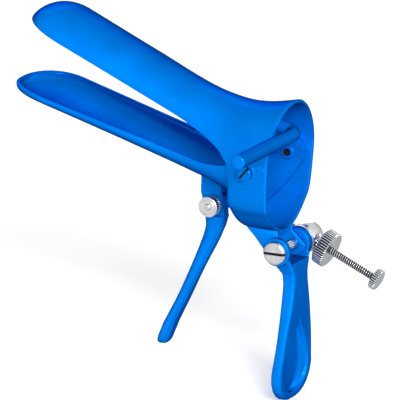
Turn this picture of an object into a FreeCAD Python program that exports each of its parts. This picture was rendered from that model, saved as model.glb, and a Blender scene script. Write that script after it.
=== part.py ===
import FreeCAD, Part
import math
import os
import Sketcher

# Bivalve speculum with a screw lock, in millimetres.
# Origin: middle of the axis that joins the two side pivots.
# +Y points to the blade tips, +X to the user's right, +Z up.

doc = FreeCAD.newDocument("BivalveSpeculum")
sheet = doc.addObject("Spreadsheet::Sheet", "Dimensions")

SIZES = {
    "Both blades": [
        ("blade_wall", 1.4),
        ("edge_margin", 1.0),
        ("rim_lip", 0.7),
    ],
    "Upper blade, outside, from the mouth to the tip": [
        ("mouth_y", -16.0),
        ("mouth_base", 3.0),
        ("mouth_half_width", 22.6),
        ("mouth_roof", 28.6),
        ("mouth_rear_y", -7.9),
        ("mouth_lean", 4.0),
        ("collar_base", 2.5),
        ("collar_half_width", 21.5),
        ("collar_roof", 25.6),
        ("collar_depth", 32.0),
        ("throat_y", 12.0),
        ("throat_base", 4.5),
        ("throat_half_width", 19.9),
        ("throat_roof", 25.6),
        ("waist_y", 30.0),
        ("waist_half_width", 17.2),
        ("waist_dome", 12.2),
        ("middle_y", 56.0),
        ("middle_half_width", 17.9),
        ("middle_dome", 11.2),
        ("broad_y", 90.0),
        ("broad_half_width", 19.6),
        ("broad_dome", 9.7),
        ("upper_tip_y", 108.0),
        ("upper_tip_droop", 1.3),
        ("upper_edge_y", 34.0),
        ("upper_edge_z", 19.5),
        ("upper_edge_angle", 24.9),
    ],
    "Front edge of the collar, from its foot up to the straight edge": [
        ("front_foot_y", 3.6),
        ("front_low_y", 7.8),
        ("front_low_z", -26.5),
        ("front_side_y", 9.6),
        ("front_side_z", -17.5),
        ("front_waist_y", 8.9),
        ("front_waist_z", -6.0),
        ("front_corner_y", 9.6),
        ("front_corner_z", 2.6),
        ("front_rise_y", 13.0),
        ("front_rise_z", 7.3),
        ("front_sweep_y", 18.2),
        ("front_sweep_z", 11.2),
        ("front_run_y", 24.8),
        ("front_run_z", 15.0),
    ],
    "Tongue below the collar": [
        ("tongue_half_width", 7.6),
        ("tongue_wall", 1.7),
        ("tongue_floor_z", -31.0),
        ("tongue_end_radius", 5.0),
        ("tongue_overlap", 4.0),
        ("tongue_heel", 2.6),
        ("tongue_front_y", 3.0),
        ("tongue_front_z", -30.5),
        ("tongue_shoulder_y", 5.6),
        ("tongue_shoulder_z", -28.0),
        ("tongue_top_y", 7.4),
        ("tongue_rear_z", -30.0),
    ],
    "Lower blade, outside": [
        ("heel_y", -12.0),
        ("heel_depth", 21.8),
        ("ear_half_width", 19.3),
        ("ear_radius", 7.6),
        ("ear_depth", 18.6),
        ("root_y", 12.0),
        ("root_half_width", 17.9),
        ("root_drop", 1.0),
        ("root_depth", 13.9),
        ("root_edge_z", 0.9),
        ("rim_y", 24.0),
        ("rim_z", 0.8),
        ("rim_angle", 15.2),
        ("rim_half_width", 17.0),
        ("rim_depth", 10.2),
        ("trough_y", 56.0),
        ("trough_half_width", 17.8),
        ("trough_depth", 8.3),
        ("spoon_y", 97.0),
        ("spoon_half_width", 19.6),
        ("spoon_depth", 6.2),
        ("lower_tip_y", 115.4),
        ("lower_tip_droop", 2.0),
        ("heel_edge_y", 4.4),
        ("heel_edge_z", -20.5),
    ],
    "Side pivots": [
        ("pivot_radius", 2.4),
        ("pivot_thread_radius", 1.7),
        ("pivot_head_radius", 3.3),
        ("pivot_head_height", 1.5),
        ("pivot_boss_radius", 4.8),
        ("collar_boss_outer_x", 22.0),
        ("collar_boss_inner_x", 20.0),
        ("ear_boss_outer_x", 19.75),
        ("bush_flange_radius", 3.2),
        ("bush_flange_height", 0.8),
        ("bush_radius", 2.6),
        ("seat_margin", 0.4),
        ("screw_end_gap", 0.3),
    ],
    "Thumb bar": [
        ("bar_radius", 3.0),
        ("bar_end_x", -59.5),
        ("bar_corner_x", -5.0),
        ("bar_y", -15.6),
        ("bar_z", 15.3),
        ("bar_bend", 4.2),
        ("bar_rise", 16.0),
        ("bar_foot_y", 8.0),
        ("bar_end_round", 0.5),
    ],
    "Bracket and its bolt": [
        ("bolt_y", 24.0),
        ("bolt_z", -20.6),
        ("cheek_gap", 2.6),
        ("cheek_wall", 1.5),
        ("cheek_radius", 4.6),
        ("bracket_front_y", 29.6),
        ("bracket_front_z", -15.5),
        ("bracket_rear_y", 20.2),
        ("bracket_web_z", -15.2),
        ("bracket_top_z", 5.0),
        ("bracket_front_lean", 0.6),
        ("bracket_rear_lean", 1.2),
        ("bracket_heel", 0.6),
        ("bracket_heel_rise", 1.5),
        ("bolt_radius", 2.0),
        ("bolt_thread_radius", 1.6),
        ("bolt_end_x", 22.9),
        ("anchor_radius", 1.5),
        ("washer_thickness", 0.6),
        ("washer_radius", 3.9),
        ("knob_radius", 4.4),
        ("knob_thickness", 4.3),
        ("knob_boss", 0.7),
        ("knob_chamfer", 0.5),
        ("knob_neck", 0.9),
        ("knob_groove", 0.25),
        ("spacer_radius", 3.0),
    ],
    "Front handle": [
        ("tang_half_width", 2.5),
        ("tang_radius", 4.4),
        ("grip_half_width", 3.6),
        ("grip_end_half_width", 4.9),
        ("front_handle_end_y", 48.6),
        ("front_handle_end_z", -84.6),
        ("front_handle_top_thickness", 8.6),
        ("front_handle_thickness", 5.4),
        ("front_handle_round", 1.0),
        ("cheek_clearance", 0.4),
    ],
    "Rear handle and its screw": [
        ("hinge_y", -9.0),
        ("hinge_z", -35.7),
        ("shank_radius", 2.4),
        ("ear_ring_radius", 6.0),
        ("clevis_half_gap", 8.0),
        ("clevis_wall", 3.0),
        ("neck_half_width", 6.6),
        ("palm_half_width", 15.2),
        ("neck_thickness", 5.8),
        ("palm_thickness", 4.6),
        ("rear_handle_end_z", -101.2),
        ("palm_z", -88.0),
        ("rear_handle_round", 1.3),
        ("neck_drop", 2.8),
        ("shank_drop", 6.0),
        ("clevis_floor_rise", 0.6),
        ("ear_back", 5.6),
        ("clevis_back", 6.2),
        ("neck_back", 6.5),
        ("shank_back", 6.6),
        ("swell_back", 6.4),
        ("broad_back", 5.3),
        ("palm_back", 4.2),
        ("recess_depth", 1.1),
        ("recess_top_z", -66.0),
        ("recess_bottom_z", -98.2),
        ("recess_half_width", 10.8),
        ("hinge_screw_head_radius", 5.0),
        ("hinge_screw_head_height", 2.2),
        ("hinge_screw_head_chamfer", 0.8),
        ("hinge_screw_thread_radius", 1.3),
        ("hinge_screw_reach", 9.0),
    ],
    "Screw lock": [
        ("ball_x", 19.0),
        ("ball_radius", 6.6),
        ("ball_washer_radius", 6.5),
        ("ball_washer_thickness", 0.9),
        ("ball_neck_radius", 3.6),
        ("rod_radius", 1.7),
        ("rod_clearance", 0.2),
        ("rod_behind_ball", 36.8),
        ("rod_eye_radius", 3.7),
        ("rod_eye_thickness", 4.0),
        ("rod_eye_socket_radius", 1.8),
        ("rod_eye_bore", 2.4),
        ("rod_shank_radius", 1.1),
        ("rod_eye_socket_length", 3.0),
        ("rod_end_gap", 0.6),
        ("wheel_gap", 6.7),
        ("wheel_radius", 7.9),
        ("wheel_thickness", 5.6),
        ("wheel_taper", 1.9),
        ("wheel_shoulder", 0.9),
        ("wheel_chamfer", 0.6),
        ("wheel_groove", 0.38),
        ("cap_radius", 4.65),
        ("cap_thickness", 2.8),
        ("cap_groove", 0.32),
        ("eye_nut_radius", 3.2),
        ("eye_nut_thickness", 2.0),
    ],
    "Clearances": [
        ("running_gap", 0.05),
        ("thread_gap", 0.02),
        ("face_gap", 0.1),
        ("screw_slot_width", 1.0),
        ("screw_slot_depth", 0.9),
        ("knurl_depth", 0.35),
        ("small_chamfer", 0.3),
        ("head_chamfer", 0.4),
    ],
}


def fill_sheet():
    row = 1
    for heading, sizes in SIZES.items():
        sheet.set(f"A{row}", heading)
        row += 1
        for alias, value in sizes:
            sheet.set(f"A{row}", alias.replace("_", " "))
            sheet.set(f"B{row}", str(value))
            sheet.setAlias(f"B{row}", alias)
            row += 1
    doc.recompute()


fill_sheet()


def size(alias):
    return float(sheet.get(alias))


def value_of(expression):
    return float(sheet.evalExpression(expression))


def point(y, z, x=0.0):
    return FreeCAD.Vector(x, y, z)


# Helpers for pieces made as bodies


def bound(expression):
    """The expression with each size's name led back to the sheet."""
    names = sorted((a for sizes in SIZES.values() for a, v in sizes), key=len, reverse=True)
    out = ""
    position = 0
    while position < len(expression):
        for name in names:
            end = position + len(name)
            before = expression[position - 1] if position else " "
            after = expression[end] if end < len(expression) else " "
            whole = not (before.isalnum() or before == "_" or after.isalnum() or after == "_")
            if expression.startswith(name, position) and whole:
                out += "Dimensions." + name
                position = end
                break
        else:
            out += expression[position]
            position += 1
    return out


def origin_plane(body, role):
    return next(f for f in body.Origin.OriginFeatures if f.Role == role)


def outline(body, role, corners):
    """A closed outline of straight lines, each corner set by two expressions."""
    sketch = body.newObject("Sketcher::SketchObject", body.Name + "Outline")
    sketch.AttachmentSupport = [(origin_plane(body, role), "")]
    sketch.MapMode = "FlatFace"
    places = [tuple(value_of(bound(e)) for e in corner) for corner in corners]
    count = len(places)
    for index, place in enumerate(places):
        following = places[(index + 1) % count]
        line = Part.LineSegment(FreeCAD.Vector(*place, 0), FreeCAD.Vector(*following, 0))
        sketch.addGeometry(line, False)
    for index in range(count):
        following = (index + 1) % count
        sketch.addConstraint(Sketcher.Constraint("Coincident", index, 2, following, 1))
    for index, corner in enumerate(corners):
        for kind, along in (("DistanceX", 0), ("DistanceY", 1)):
            constraint = Sketcher.Constraint(kind, -1, 1, index, 1, places[index][along])
            number = sketch.addConstraint(constraint)
            sketch.setExpression(f"Constraints[{number}]", bound(corner[along]))
    return sketch


def set_place(thing, x="0", y="0", z="0", tilt=None):
    """Bind the piece's place, and its tilt about X, to the sheet."""
    thing.Placement = FreeCAD.Placement(FreeCAD.Vector(), FreeCAD.Rotation(point(0, 0, 1), 0))
    for axis, expression in (("x", x), ("y", y), ("z", z)):
        thing.setExpression(f"Placement.Base.{axis}", bound(expression))
    if tilt is not None:
        turn = FreeCAD.Rotation(FreeCAD.Vector(1, 0, 0), math.degrees(ROD_ANGLE))
        thing.Placement = FreeCAD.Placement(thing.Placement.Base, turn)
        thing.setExpression("Placement.Rotation.Angle", bound(tilt))


def turned(label, corners, role="XY_Plane", axis="H_Axis", **place):
    """A piece turned about its own X axis (or Y axis on the YZ plane)."""
    body = doc.addObject("PartDesign::Body", label)
    body.Label = label
    sketch = outline(body, role, corners)
    revolution = body.newObject("PartDesign::Revolution", label + "Turning")
    revolution.Profile = sketch
    revolution.ReferenceAxis = (sketch, [axis])
    revolution.Angle = 360
    sketch.Visibility = False
    set_place(body, **place)
    return body


def cut_outline(body, role, corners, length):
    """Cut straight through or part way along the plane's normal, both ways."""
    sketch = outline(body, role, corners)
    pocket = body.newObject("PartDesign::Pocket", body.Name + "Cut")
    pocket.Profile = sketch
    pocket.Midplane = True
    pocket.setExpression("Length", bound(length))
    sketch.Visibility = False
    doc.recompute()
    return pocket


def knurl(body, role, radius, groove_half, length, count, axis_role):
    """Straight knurling: one groove across the rim, repeated round the axis."""
    groove = cut_outline(body, role, [
        ("-" + groove_half, radius + " + knurl_depth"), (groove_half, radius + " + knurl_depth"),
        ("0", radius + " - knurl_depth"),
    ], length)
    pattern = body.newObject("PartDesign::PolarPattern", body.Name + "Knurl")
    pattern.Originals = [groove]
    pattern.Axis = (origin_plane(body, axis_role), [""])
    pattern.Angle = 360
    pattern.Occurrences = count
    body.Tip = pattern
    doc.recompute()


# Helpers for sculpted pieces


def spline_edge(points, start=None, end=None):
    curve = Part.BSplineCurve()
    if start is None:
        curve.interpolate(points)
    else:
        curve.interpolate(Points=points, InitialTangent=start, FinalTangent=end)
    return curve.toShape()


def line_edges(points):
    return [Part.makeLine(a, b) for a, b in zip(points, points[1:])]


def prism(edges, direction):
    """A solid swept from the closed outline, equally to both sides of its plane."""
    face = Part.Face(Part.Wire(Part.__sortEdges__(edges)))
    face.translate(direction * -0.5)
    return face.extrude(direction)


def across(half_width):
    return FreeCAD.Vector(2 * half_width, 0, 0)


def disc(radius, x_from, x_to, y=0.0, z=0.0):
    return Part.makeCylinder(radius, x_to - x_from, point(y, z, x_from), FreeCAD.Vector(1, 0, 0))


def room_below(half_x, top_z):
    """Open room between two sides, from a level down."""
    return Part.makeBox(2 * half_x, 2 * WIDE, WIDE, FreeCAD.Vector(-half_x, -WIDE, top_z - WIDE))


def room_above(half_x, floor_z):
    """Open room between two sides, from a level up."""
    return Part.makeBox(2 * half_x, 2 * WIDE, WIDE, FreeCAD.Vector(-half_x, -WIDE, floor_z))


def both_sides(shape):
    mirrored = shape.mirror(FreeCAD.Vector(), FreeCAD.Vector(1, 0, 0))
    return [shape, mirrored]


def sculpted(label, shape):
    """Keep a finished solid as an object of the document."""
    feature = doc.addObject("Part::Feature", label)
    feature.Label = label
    feature.Shape = shape.removeSplitter()
    feature.Placement = FreeCAD.Placement()
    return feature


# Lines that several pieces share

HINGE = point(size("hinge_y"), size("hinge_z"))
BOLT = point(size("bolt_y"), size("bolt_z"))
ROD_ANGLE = math.atan2(BOLT.z - HINGE.z, BOLT.y - HINGE.y)
ROD_TILT = "atan2(bolt_z - hinge_z; bolt_y - hinge_y)"
# Reach of cutting tools that must pass clear of everything
WIDE = 3 * size("mouth_half_width")


def upper_edge_z(y):
    """Height of the upper blade's lower edge, straight in the side view up to the nose."""
    rise = math.tan(math.radians(size("upper_edge_angle")))
    share = max(y - size("broad_y"), 0) / (size("upper_tip_y") - size("broad_y"))
    return size("upper_edge_z") + (y - size("upper_edge_y")) * rise - size("upper_tip_droop") * share ** 2


def lower_rim_z(y):
    """Height of the lower blade's rim, straight in the side view up to the nose."""
    rise = math.tan(math.radians(size("rim_angle")))
    share = max(y - size("spoon_y"), 0) / (size("lower_tip_y") - size("spoon_y"))
    return size("rim_z") + (y - size("rim_y")) * rise - size("lower_tip_droop") * share ** 2


def edge_line(height, places):
    """Points of a blade's edge in the side view."""
    return [point(y, height(y)) for y in places]


def guide(stations, y):
    """Smooth line through (place, value) stations, read at a place along the blade."""
    last = len(stations) - 1
    index = next((i for i in range(last) if y <= stations[i + 1][0]), last - 1)

    def slope(i):
        low, high = stations[max(i - 1, 0)], stations[min(i + 1, last)]
        return (high[1] - low[1]) / (high[0] - low[0])

    (y0, v0), (y1, v1) = stations[index], stations[index + 1]
    span = y1 - y0
    s = (y - y0) / span
    value = v0 * (2 * s ** 3 - 3 * s ** 2 + 1) + v1 * (3 * s ** 2 - 2 * s ** 3)
    return value + span * (slope(index) * (s ** 3 - 2 * s ** 2 + s) + slope(index + 1) * (s ** 3 - s ** 2))


def nose_share(turn):
    """How much of the full width is left part way round the rounded tip."""
    return math.cos(math.radians(turn)) ** NOSE_FULLNESS


# Upper blade: dome, trumpet collar and tongue in one piece

# Shape of the collar below its widest line: share of half width, share of depth
COLLAR_CURVE = [(0.94, 0.50), (0.76, 0.70), (0.43, 0.90)]
NOSE_TURNS = [18, 36, 52, 66, 77, 86]
# Powers that make the plan of a nose full, and its side view slim or blunt
NOSE_FULLNESS = 0.85
UPPER_NOSE_SLIM = 1.7
LOWER_NOSE_SLIM = 0.7
TOE_SLIM = 0.4
SECTION_STEP = 5.0
EAR_FRONT_TURN = 42
FRONT_EDGE = ["low", "side", "waist", "corner", "rise", "sweep", "run"]


def upper_section(y, base, half_width, height, depth):
    """A half ellipse above the widest line and the collar's curve below it."""
    right = point(y, base, half_width)
    left = point(y, base, -half_width)
    ridge = point(y, base + height)
    turns = [math.radians(turn) for turn in (22.5, 45, 67.5)]
    rise = [point(y, base + height * math.sin(a), half_width * math.cos(a)) for a in turns]
    fall = [point(y, p.z, -p.x) for p in reversed(rise)]
    up = FreeCAD.Vector(0, 0, 1)
    arch = spline_edge([right] + rise + [ridge] + fall + [left], up, -up)
    side = [point(y, base - fz * depth, fx * half_width) for fx, fz in COLLAR_CURVE]
    other = [point(y, p.z, -p.x) for p in side]
    under = spline_edge([left] + other + [point(y, base - depth)] + side[::-1] + [right], -up, up)
    return Part.Wire([arch, under])


def upper_guides():
    """Stations of the upper blade's base line, half width, dome height and depth."""
    margin = size("edge_margin")
    places = {
        "mouth": size("mouth_y"), "collar": 0.0, "throat": size("throat_y"),
        "waist": size("waist_y"), "middle": size("middle_y"), "broad": size("broad_y"),
    }
    base, width, height = [], [], []
    for name, y in places.items():
        if name in ("mouth", "collar", "throat"):
            foot = size(name + "_base")
            dome = size(name + "_roof") - foot
        else:
            foot = upper_edge_z(y) - margin
            dome = size(name + "_dome") + margin
        base.append((y, foot))
        width.append((y, size(name + "_half_width")))
        height.append((y, dome))
    return base, width, height


def upper_horn(inset):
    """The closed horn that bounds the upper blade outside, or inside when inset."""
    base, width, height = upper_guides()
    margin = size("edge_margin")
    depth = size("collar_depth") - inset
    broad = size("broad_y")
    count = round((broad - size("mouth_y")) / SECTION_STEP)
    wires = []
    for index in range(count + 1):
        y = size("mouth_y") + index * (broad - size("mouth_y")) / count
        half_width = guide(width, y) - inset
        wires.append(upper_section(y, guide(base, y), half_width, guide(height, y) - inset, depth))
    nose = size("upper_tip_y") - broad - inset
    for turn in NOSE_TURNS:
        y = broad + nose * math.sin(math.radians(turn))
        share = nose_share(turn)
        half_width = (size("broad_half_width") - inset) * share
        dome = (size("broad_dome") + margin - inset) * share ** UPPER_NOSE_SLIM
        wires.append(upper_section(y, upper_edge_z(y) - margin, half_width, dome, depth * share))
    return Part.makeLoft(wires, True, True)


def upper_side_outline():
    """Side view of the upper blade: mouth, collar, lower edge and open space over it."""
    lean = math.tan(math.radians(size("mouth_lean")))
    margin = size("edge_margin")
    floor_z = size("collar_base") - size("collar_depth") - margin
    top_z = upper_edge_z(size("upper_tip_y")) + size("collar_roof")
    mouth_top = point(size("mouth_rear_y") - lean * (top_z - floor_z), top_z)
    mouth_foot = point(size("mouth_rear_y"), floor_z)
    straight_from = point(size("upper_edge_y"), size("upper_edge_z"))
    past_tip = size("upper_tip_y") + 5 * margin
    broad = size("broad_y")
    nose = past_tip - broad
    edge = edge_line(upper_edge_z, [broad, broad + 0.35 * nose, broad + 0.65 * nose, past_tip])
    curve = [point(size("front_foot_y"), floor_z)]
    curve += [point(size(f"front_{name}_y"), size(f"front_{name}_z")) for name in FRONT_EDGE]
    curve.append(straight_from)
    angle = math.radians(size("upper_edge_angle"))
    front = spline_edge(curve, point(0.6, 0.8), point(math.cos(angle), math.sin(angle)))
    corners = [straight_from] + edge + [point(past_tip, top_z), mouth_top, mouth_foot, curve[0]]
    return [front] + line_edges(corners)


def tongue():
    """Two cheeks that run down from the collar's floor and hold the hinge shank."""
    radius = size("tongue_end_radius")
    hinge_rear = point(HINGE.y - radius, HINGE.z)
    hinge_foot = point(HINGE.y, HINGE.z - radius)
    turn = math.radians(225)
    hinge_corner = point(HINGE.y + radius * math.cos(turn), HINGE.z + radius * math.sin(turn))
    top_z = size("collar_base") - size("collar_depth") + size("tongue_overlap")
    heel = point(HINGE.y + radius, HINGE.z - radius)
    corners = [hinge_foot, heel, point(heel.y + size("tongue_heel"), HINGE.z),
               point(size("tongue_front_y"), size("tongue_front_z")),
               point(size("tongue_shoulder_y"), size("tongue_shoulder_z")),
               point(size("tongue_top_y"), top_z), point(size("mouth_rear_y"), top_z),
               point(size("mouth_rear_y"), size("tongue_rear_z")), hinge_rear]
    edges = line_edges(corners) + [Part.Arc(hinge_rear, hinge_corner, hinge_foot).toShape()]
    block = prism(edges, across(size("tongue_half_width")))
    gap = size("tongue_half_width") - size("tongue_wall")
    return block.cut(room_below(gap, size("tongue_floor_z")))


def make_upper_blade():
    outer = upper_horn(0.0)
    inner = upper_horn(size("blade_wall"))
    shell = outer.cut(inner).common(prism(upper_side_outline(), across(WIDE)))
    shell = shell.fuse(tongue().cut(inner))
    hole = size("pivot_radius") + size("running_gap")
    boss = disc(size("pivot_boss_radius"), size("collar_boss_inner_x"), size("collar_boss_outer_x"))
    for side in both_sides(boss):
        shell = shell.fuse(side)
    flat = size("collar_boss_inner_x")
    shell = shell.cut(disc(size("pivot_boss_radius") + size("seat_margin"), -flat, flat))
    shell = shell.cut(disc(hole, -WIDE, WIDE))
    bore = size("shank_radius") + size("running_gap")
    shell = shell.cut(disc(bore, -WIDE, WIDE, HINGE.y, HINGE.z))
    return max(shell.Solids, key=lambda solid: solid.Volume)


# Lower blade: trough, ears for the side pivots


def lower_section(y, half_width, centre, depth, top):
    """A half ellipse below straight sides, closed along the top."""
    right = point(y, centre, half_width)
    left = point(y, centre, -half_width)
    bottom = point(y, centre - depth)
    sweep = []
    for turn in (30, 60):
        angle = math.radians(turn)
        sweep.append(point(y, centre - depth * math.sin(angle), half_width * math.cos(angle)))
    other = [point(p.y, p.z, -p.x) for p in reversed(sweep)]
    down = FreeCAD.Vector(0, 0, -1)
    bowl = spline_edge([right] + sweep + [bottom] + other + [left], down, -down)
    top_right = point(y, top, half_width)
    top_left = point(y, top, -half_width)
    return Part.Wire([bowl] + line_edges([left, top_left, top_right, right]))


def lower_trough(inset):
    """The closed trough that bounds the lower blade outside, or inside when inset."""
    margin = size("edge_margin")
    lip = size("rim_lip")
    high = size("ear_radius") + 2 * margin
    centre = [(size("heel_y"), 0.0), (0.0, 0.0), (size("root_y"), -size("root_drop"))]
    width = [(size("heel_y"), size("ear_half_width")), (0.0, size("ear_half_width")),
             (size("root_y"), size("root_half_width"))]
    depth = [(size("heel_y"), size("heel_depth")), (0.0, size("ear_depth")),
             (size("root_y"), size("root_depth"))]
    for name in ("rim", "trough", "spoon"):
        y = size(name + "_y")
        centre.append((y, lower_rim_z(y) - lip))
        width.append((y, size(name + "_half_width")))
        depth.append((y, size(name + "_depth") - lip))
    spoon = size("spoon_y")
    count = round((spoon - size("heel_y")) / SECTION_STEP)
    wires = []
    for index in range(count + 1):
        y = size("heel_y") + index * (spoon - size("heel_y")) / count
        level = guide(centre, y)
        top = high if y < size("root_y") + 4 * margin else level + lip + margin
        wires.append(lower_section(y, guide(width, y) - inset, level, guide(depth, y) - inset, top))
    nose = size("lower_tip_y") - spoon - inset
    for turn in NOSE_TURNS:
        share = nose_share(turn)
        y = spoon + nose * math.sin(math.radians(turn))
        level = lower_rim_z(y) - lip
        half_width = (size("spoon_half_width") - inset) * share
        dip = (size("spoon_depth") - lip - inset) * share ** LOWER_NOSE_SLIM
        wires.append(lower_section(y, half_width, level, dip, level + lip + margin))
    return Part.makeLoft(wires, True, True)


def lower_side_outline():
    """Side view of the lower blade: rim, round ear and slanting heel."""
    past_tip = size("lower_tip_y") + 5 * size("edge_margin")
    deep = -size("heel_depth") - size("root_depth")
    radius = size("ear_radius")
    heel = point(size("heel_edge_y"), size("heel_edge_z"))
    ear_from = math.radians(EAR_FRONT_TURN)
    ear_to = 2 * math.pi + math.atan2(heel.z, heel.y) - math.acos(radius / heel.Length)
    ear = [ear_from, (ear_from + ear_to) / 2, ear_to]
    ear_front, ear_top, ear_rear = [point(radius * math.cos(a), radius * math.sin(a)) for a in ear]
    rim_start = point(size("rim_y"), size("rim_z"))
    angle = math.radians(size("rim_angle"))
    toward_ear = point(-math.cos(angle), -math.sin(angle))
    into_ear = point(-math.sin(ear[0]), math.cos(ear[0]))
    root = point(size("root_y"), size("root_edge_z"))
    rise = spline_edge([rim_start, root, ear_front], toward_ear, into_ear)
    spoon = size("spoon_y")
    nose = past_tip - spoon
    edge = edge_line(lower_rim_z, [past_tip, spoon + 0.65 * nose, spoon + 0.35 * nose, spoon])
    corners = [ear_rear, heel, point(heel.y, deep), point(past_tip, deep)] + edge + [rim_start]
    return [rise, Part.Arc(ear_front, ear_top, ear_rear).toShape()] + line_edges(corners)


def make_lower_blade():
    outer = lower_trough(0.0)
    shell = outer.cut(lower_trough(size("blade_wall")))
    shell = shell.common(prism(lower_side_outline(), across(WIDE)))
    inner_x = size("ear_half_width") - size("blade_wall")
    boss = disc(size("pivot_boss_radius"), inner_x, size("ear_boss_outer_x"))
    for side in both_sides(boss):
        shell = shell.fuse(side)
    shell = shell.cut(disc(size("bush_flange_radius") + size("seat_margin"), -inner_x, inner_x))
    shell = shell.cut(disc(size("bush_radius") + size("thread_gap"), -WIDE, WIDE))
    return max(shell.Solids, key=lambda solid: solid.Volume), outer


# Thumb bar: a round bar bent to an L


def make_thumb_bar(upper_blade):
    radius = size("bar_radius")
    bend = size("bar_bend")
    rise = math.radians(size("bar_rise"))
    forward = point(math.cos(rise), math.sin(rise))
    corner = point(size("bar_y"), size("bar_z"), size("bar_corner_x"))
    start = point(size("bar_y"), size("bar_z"), size("bar_end_x"))
    side = FreeCAD.Vector(1, 0, 0)
    before = corner - side * bend
    after = corner + forward * bend
    centre = before + forward * bend
    middle = centre + (side - forward).normalize() * bend
    foot = corner + forward * ((size("bar_foot_y") - size("bar_y")) / math.cos(rise))
    path = Part.Wire([Part.makeLine(start, before), Part.Arc(before, middle, after).toShape(),
                      Part.makeLine(after, foot)])
    ring = Part.Wire(Part.makeCircle(radius, start, side))
    bar = path.makePipeShell([ring], True, False)
    free_end = min(bar.Edges, key=lambda edge: edge.CenterOfMass.x)
    bar = bar.makeFillet(size("bar_end_round"), [free_end])
    bar = bar.cut(upper_blade)
    return max(bar.Solids, key=lambda solid: solid.Volume)


# Bracket under the lower blade


def make_bracket(lower_outer):
    radius = size("cheek_radius")
    wall_x = size("cheek_gap") + size("cheek_wall")
    front = point(size("bracket_front_y"), size("bracket_front_z"))
    front_top = point(size("bracket_front_y") - size("bracket_front_lean"), size("bracket_top_z"))
    rear_top = point(size("bracket_rear_y") + size("bracket_rear_lean"), size("bracket_top_z"))
    rear = point(size("bracket_rear_y") - size("bracket_heel"), BOLT.z + size("bracket_heel_rise"))
    turns = [math.radians(turn) for turn in (15, -80, -198)]
    arc_points = [BOLT + point(radius * math.cos(a), radius * math.sin(a)) for a in turns]
    edges = [Part.Arc(*arc_points).toShape()]
    edges += line_edges([arc_points[2], rear, rear_top, front_top, front, arc_points[0]])
    block = prism(edges, across(wall_x))
    slot = room_below(size("cheek_gap"), size("bracket_web_z"))
    bracket = block.cut(slot).cut(lower_outer)
    bracket = bracket.cut(disc(size("bolt_radius") + size("thread_gap"), -WIDE, WIDE, BOLT.y, BOLT.z))
    return max(bracket.Solids, key=lambda solid: solid.Volume)


# Handles: rounded bars lofted through level sections


def level_section(z, y, half_x, half_y, corner):
    """A rectangle with rounded corners, lying level."""
    inner_x = half_x - corner
    inner_y = half_y - corner
    quarter = corner * math.sqrt(0.5)
    edges = []
    signs = [(1, 1), (-1, 1), (-1, -1), (1, -1)]
    for index, (sx, sy) in enumerate(signs):
        on_side = point(y + sy * inner_y, z, sx * half_x)
        on_corner = point(y + sy * (inner_y + quarter), z, sx * (inner_x + quarter))
        on_end = point(y + sy * half_y, z, sx * inner_x)
        run = [on_side, on_corner, on_end] if index % 2 == 0 else [on_end, on_corner, on_side]
        edges.append(Part.Arc(*run).toShape())
        nx, ny = signs[(index + 1) % 4]
        if index % 2 == 0:
            following = point(y + ny * half_y, z, nx * inner_x)
        else:
            following = point(y + ny * inner_y, z, nx * half_x)
        edges.append(Part.makeLine(run[2], following))
    return Part.Wire(edges)


def lofted_bar(stations, end_z, corner, step):
    """A bar through (z, y, half x, half y) stations, ending in a round toe."""
    levels = [[(-s[0], s[k]) for s in stations] for k in (1, 2, 3)]
    top = -stations[0][0]
    wide = -stations[-1][0]
    count = round((wide - top) / step)
    wires = []
    for index in range(count + 1):
        down = top + index * (wide - top) / count
        y, half_x, half_y = [guide(level, down) for level in levels]
        wires.append(level_section(-down, y, half_x, half_y, corner))
    drift = (levels[0][-1][1] - levels[0][-2][1]) / (levels[0][-1][0] - levels[0][-2][0])
    toe = -end_z - wide
    for turn in NOSE_TURNS:
        share = nose_share(turn)
        down = toe * math.sin(math.radians(turn))
        half_x = stations[-1][2] * share
        half_y = stations[-1][3] * share ** TOE_SLIM
        y = stations[-1][1] + drift * down
        wires.append(level_section(-wide - down, y, half_x, half_y, corner * share))
    return Part.makeLoft(wires, True, True)


# Front handle


def make_front_handle():
    top = size("front_handle_top_thickness") / 2
    thin = size("front_handle_thickness") / 2
    tang = size("tang_half_width")
    grip = size("grip_half_width")
    wide = size("grip_end_half_width")
    radius = size("tang_radius")
    end_z = size("front_handle_end_z")
    reach_y = size("front_handle_end_y") - BOLT.y
    reach_z = end_z - BOLT.z
    # Share of the way forward, share of the way down, half width, half thickness
    bow = [(-0.01, 0.07, grip, top), (0.02, 0.16, grip, 0.94 * top),
           (0.16, 0.29, grip, 0.5 * (top + thin)), (0.36, 0.45, grip, 1.05 * thin),
           (0.63, 0.67, 0.5 * (grip + wide), 0.95 * thin), (0.90, 0.87, wide, thin),
           (0.96, 0.93, wide, thin)]
    stations = [(BOLT.z + reach_z * down, BOLT.y + reach_y * forward, half_x, half_y)
                for forward, down, half_x, half_y in bow]
    bar = lofted_bar(stations, end_z, size("front_handle_round"), SECTION_STEP)
    neck_z = BOLT.z - size("cheek_radius") - size("cheek_clearance")
    bar = bar.cut(room_above(WIDE / 2, neck_z))
    root_z = neck_z - size("edge_margin")
    shoulder = Part.makeBox(2 * tang, 2 * radius, BOLT.z - root_z,
                            FreeCAD.Vector(-tang, BOLT.y - radius, root_z))
    handle = bar.fuse([shoulder, disc(radius, -tang, tang, BOLT.y, BOLT.z)])
    bore = size("bolt_radius") + size("running_gap")
    handle = handle.cut(disc(bore, -WIDE, WIDE, BOLT.y, BOLT.z))
    return max(handle.Solids, key=lambda solid: solid.Volume)


# Rear handle: clevis head, neck and spoon-shaped palm with a drop-shaped recess


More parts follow.
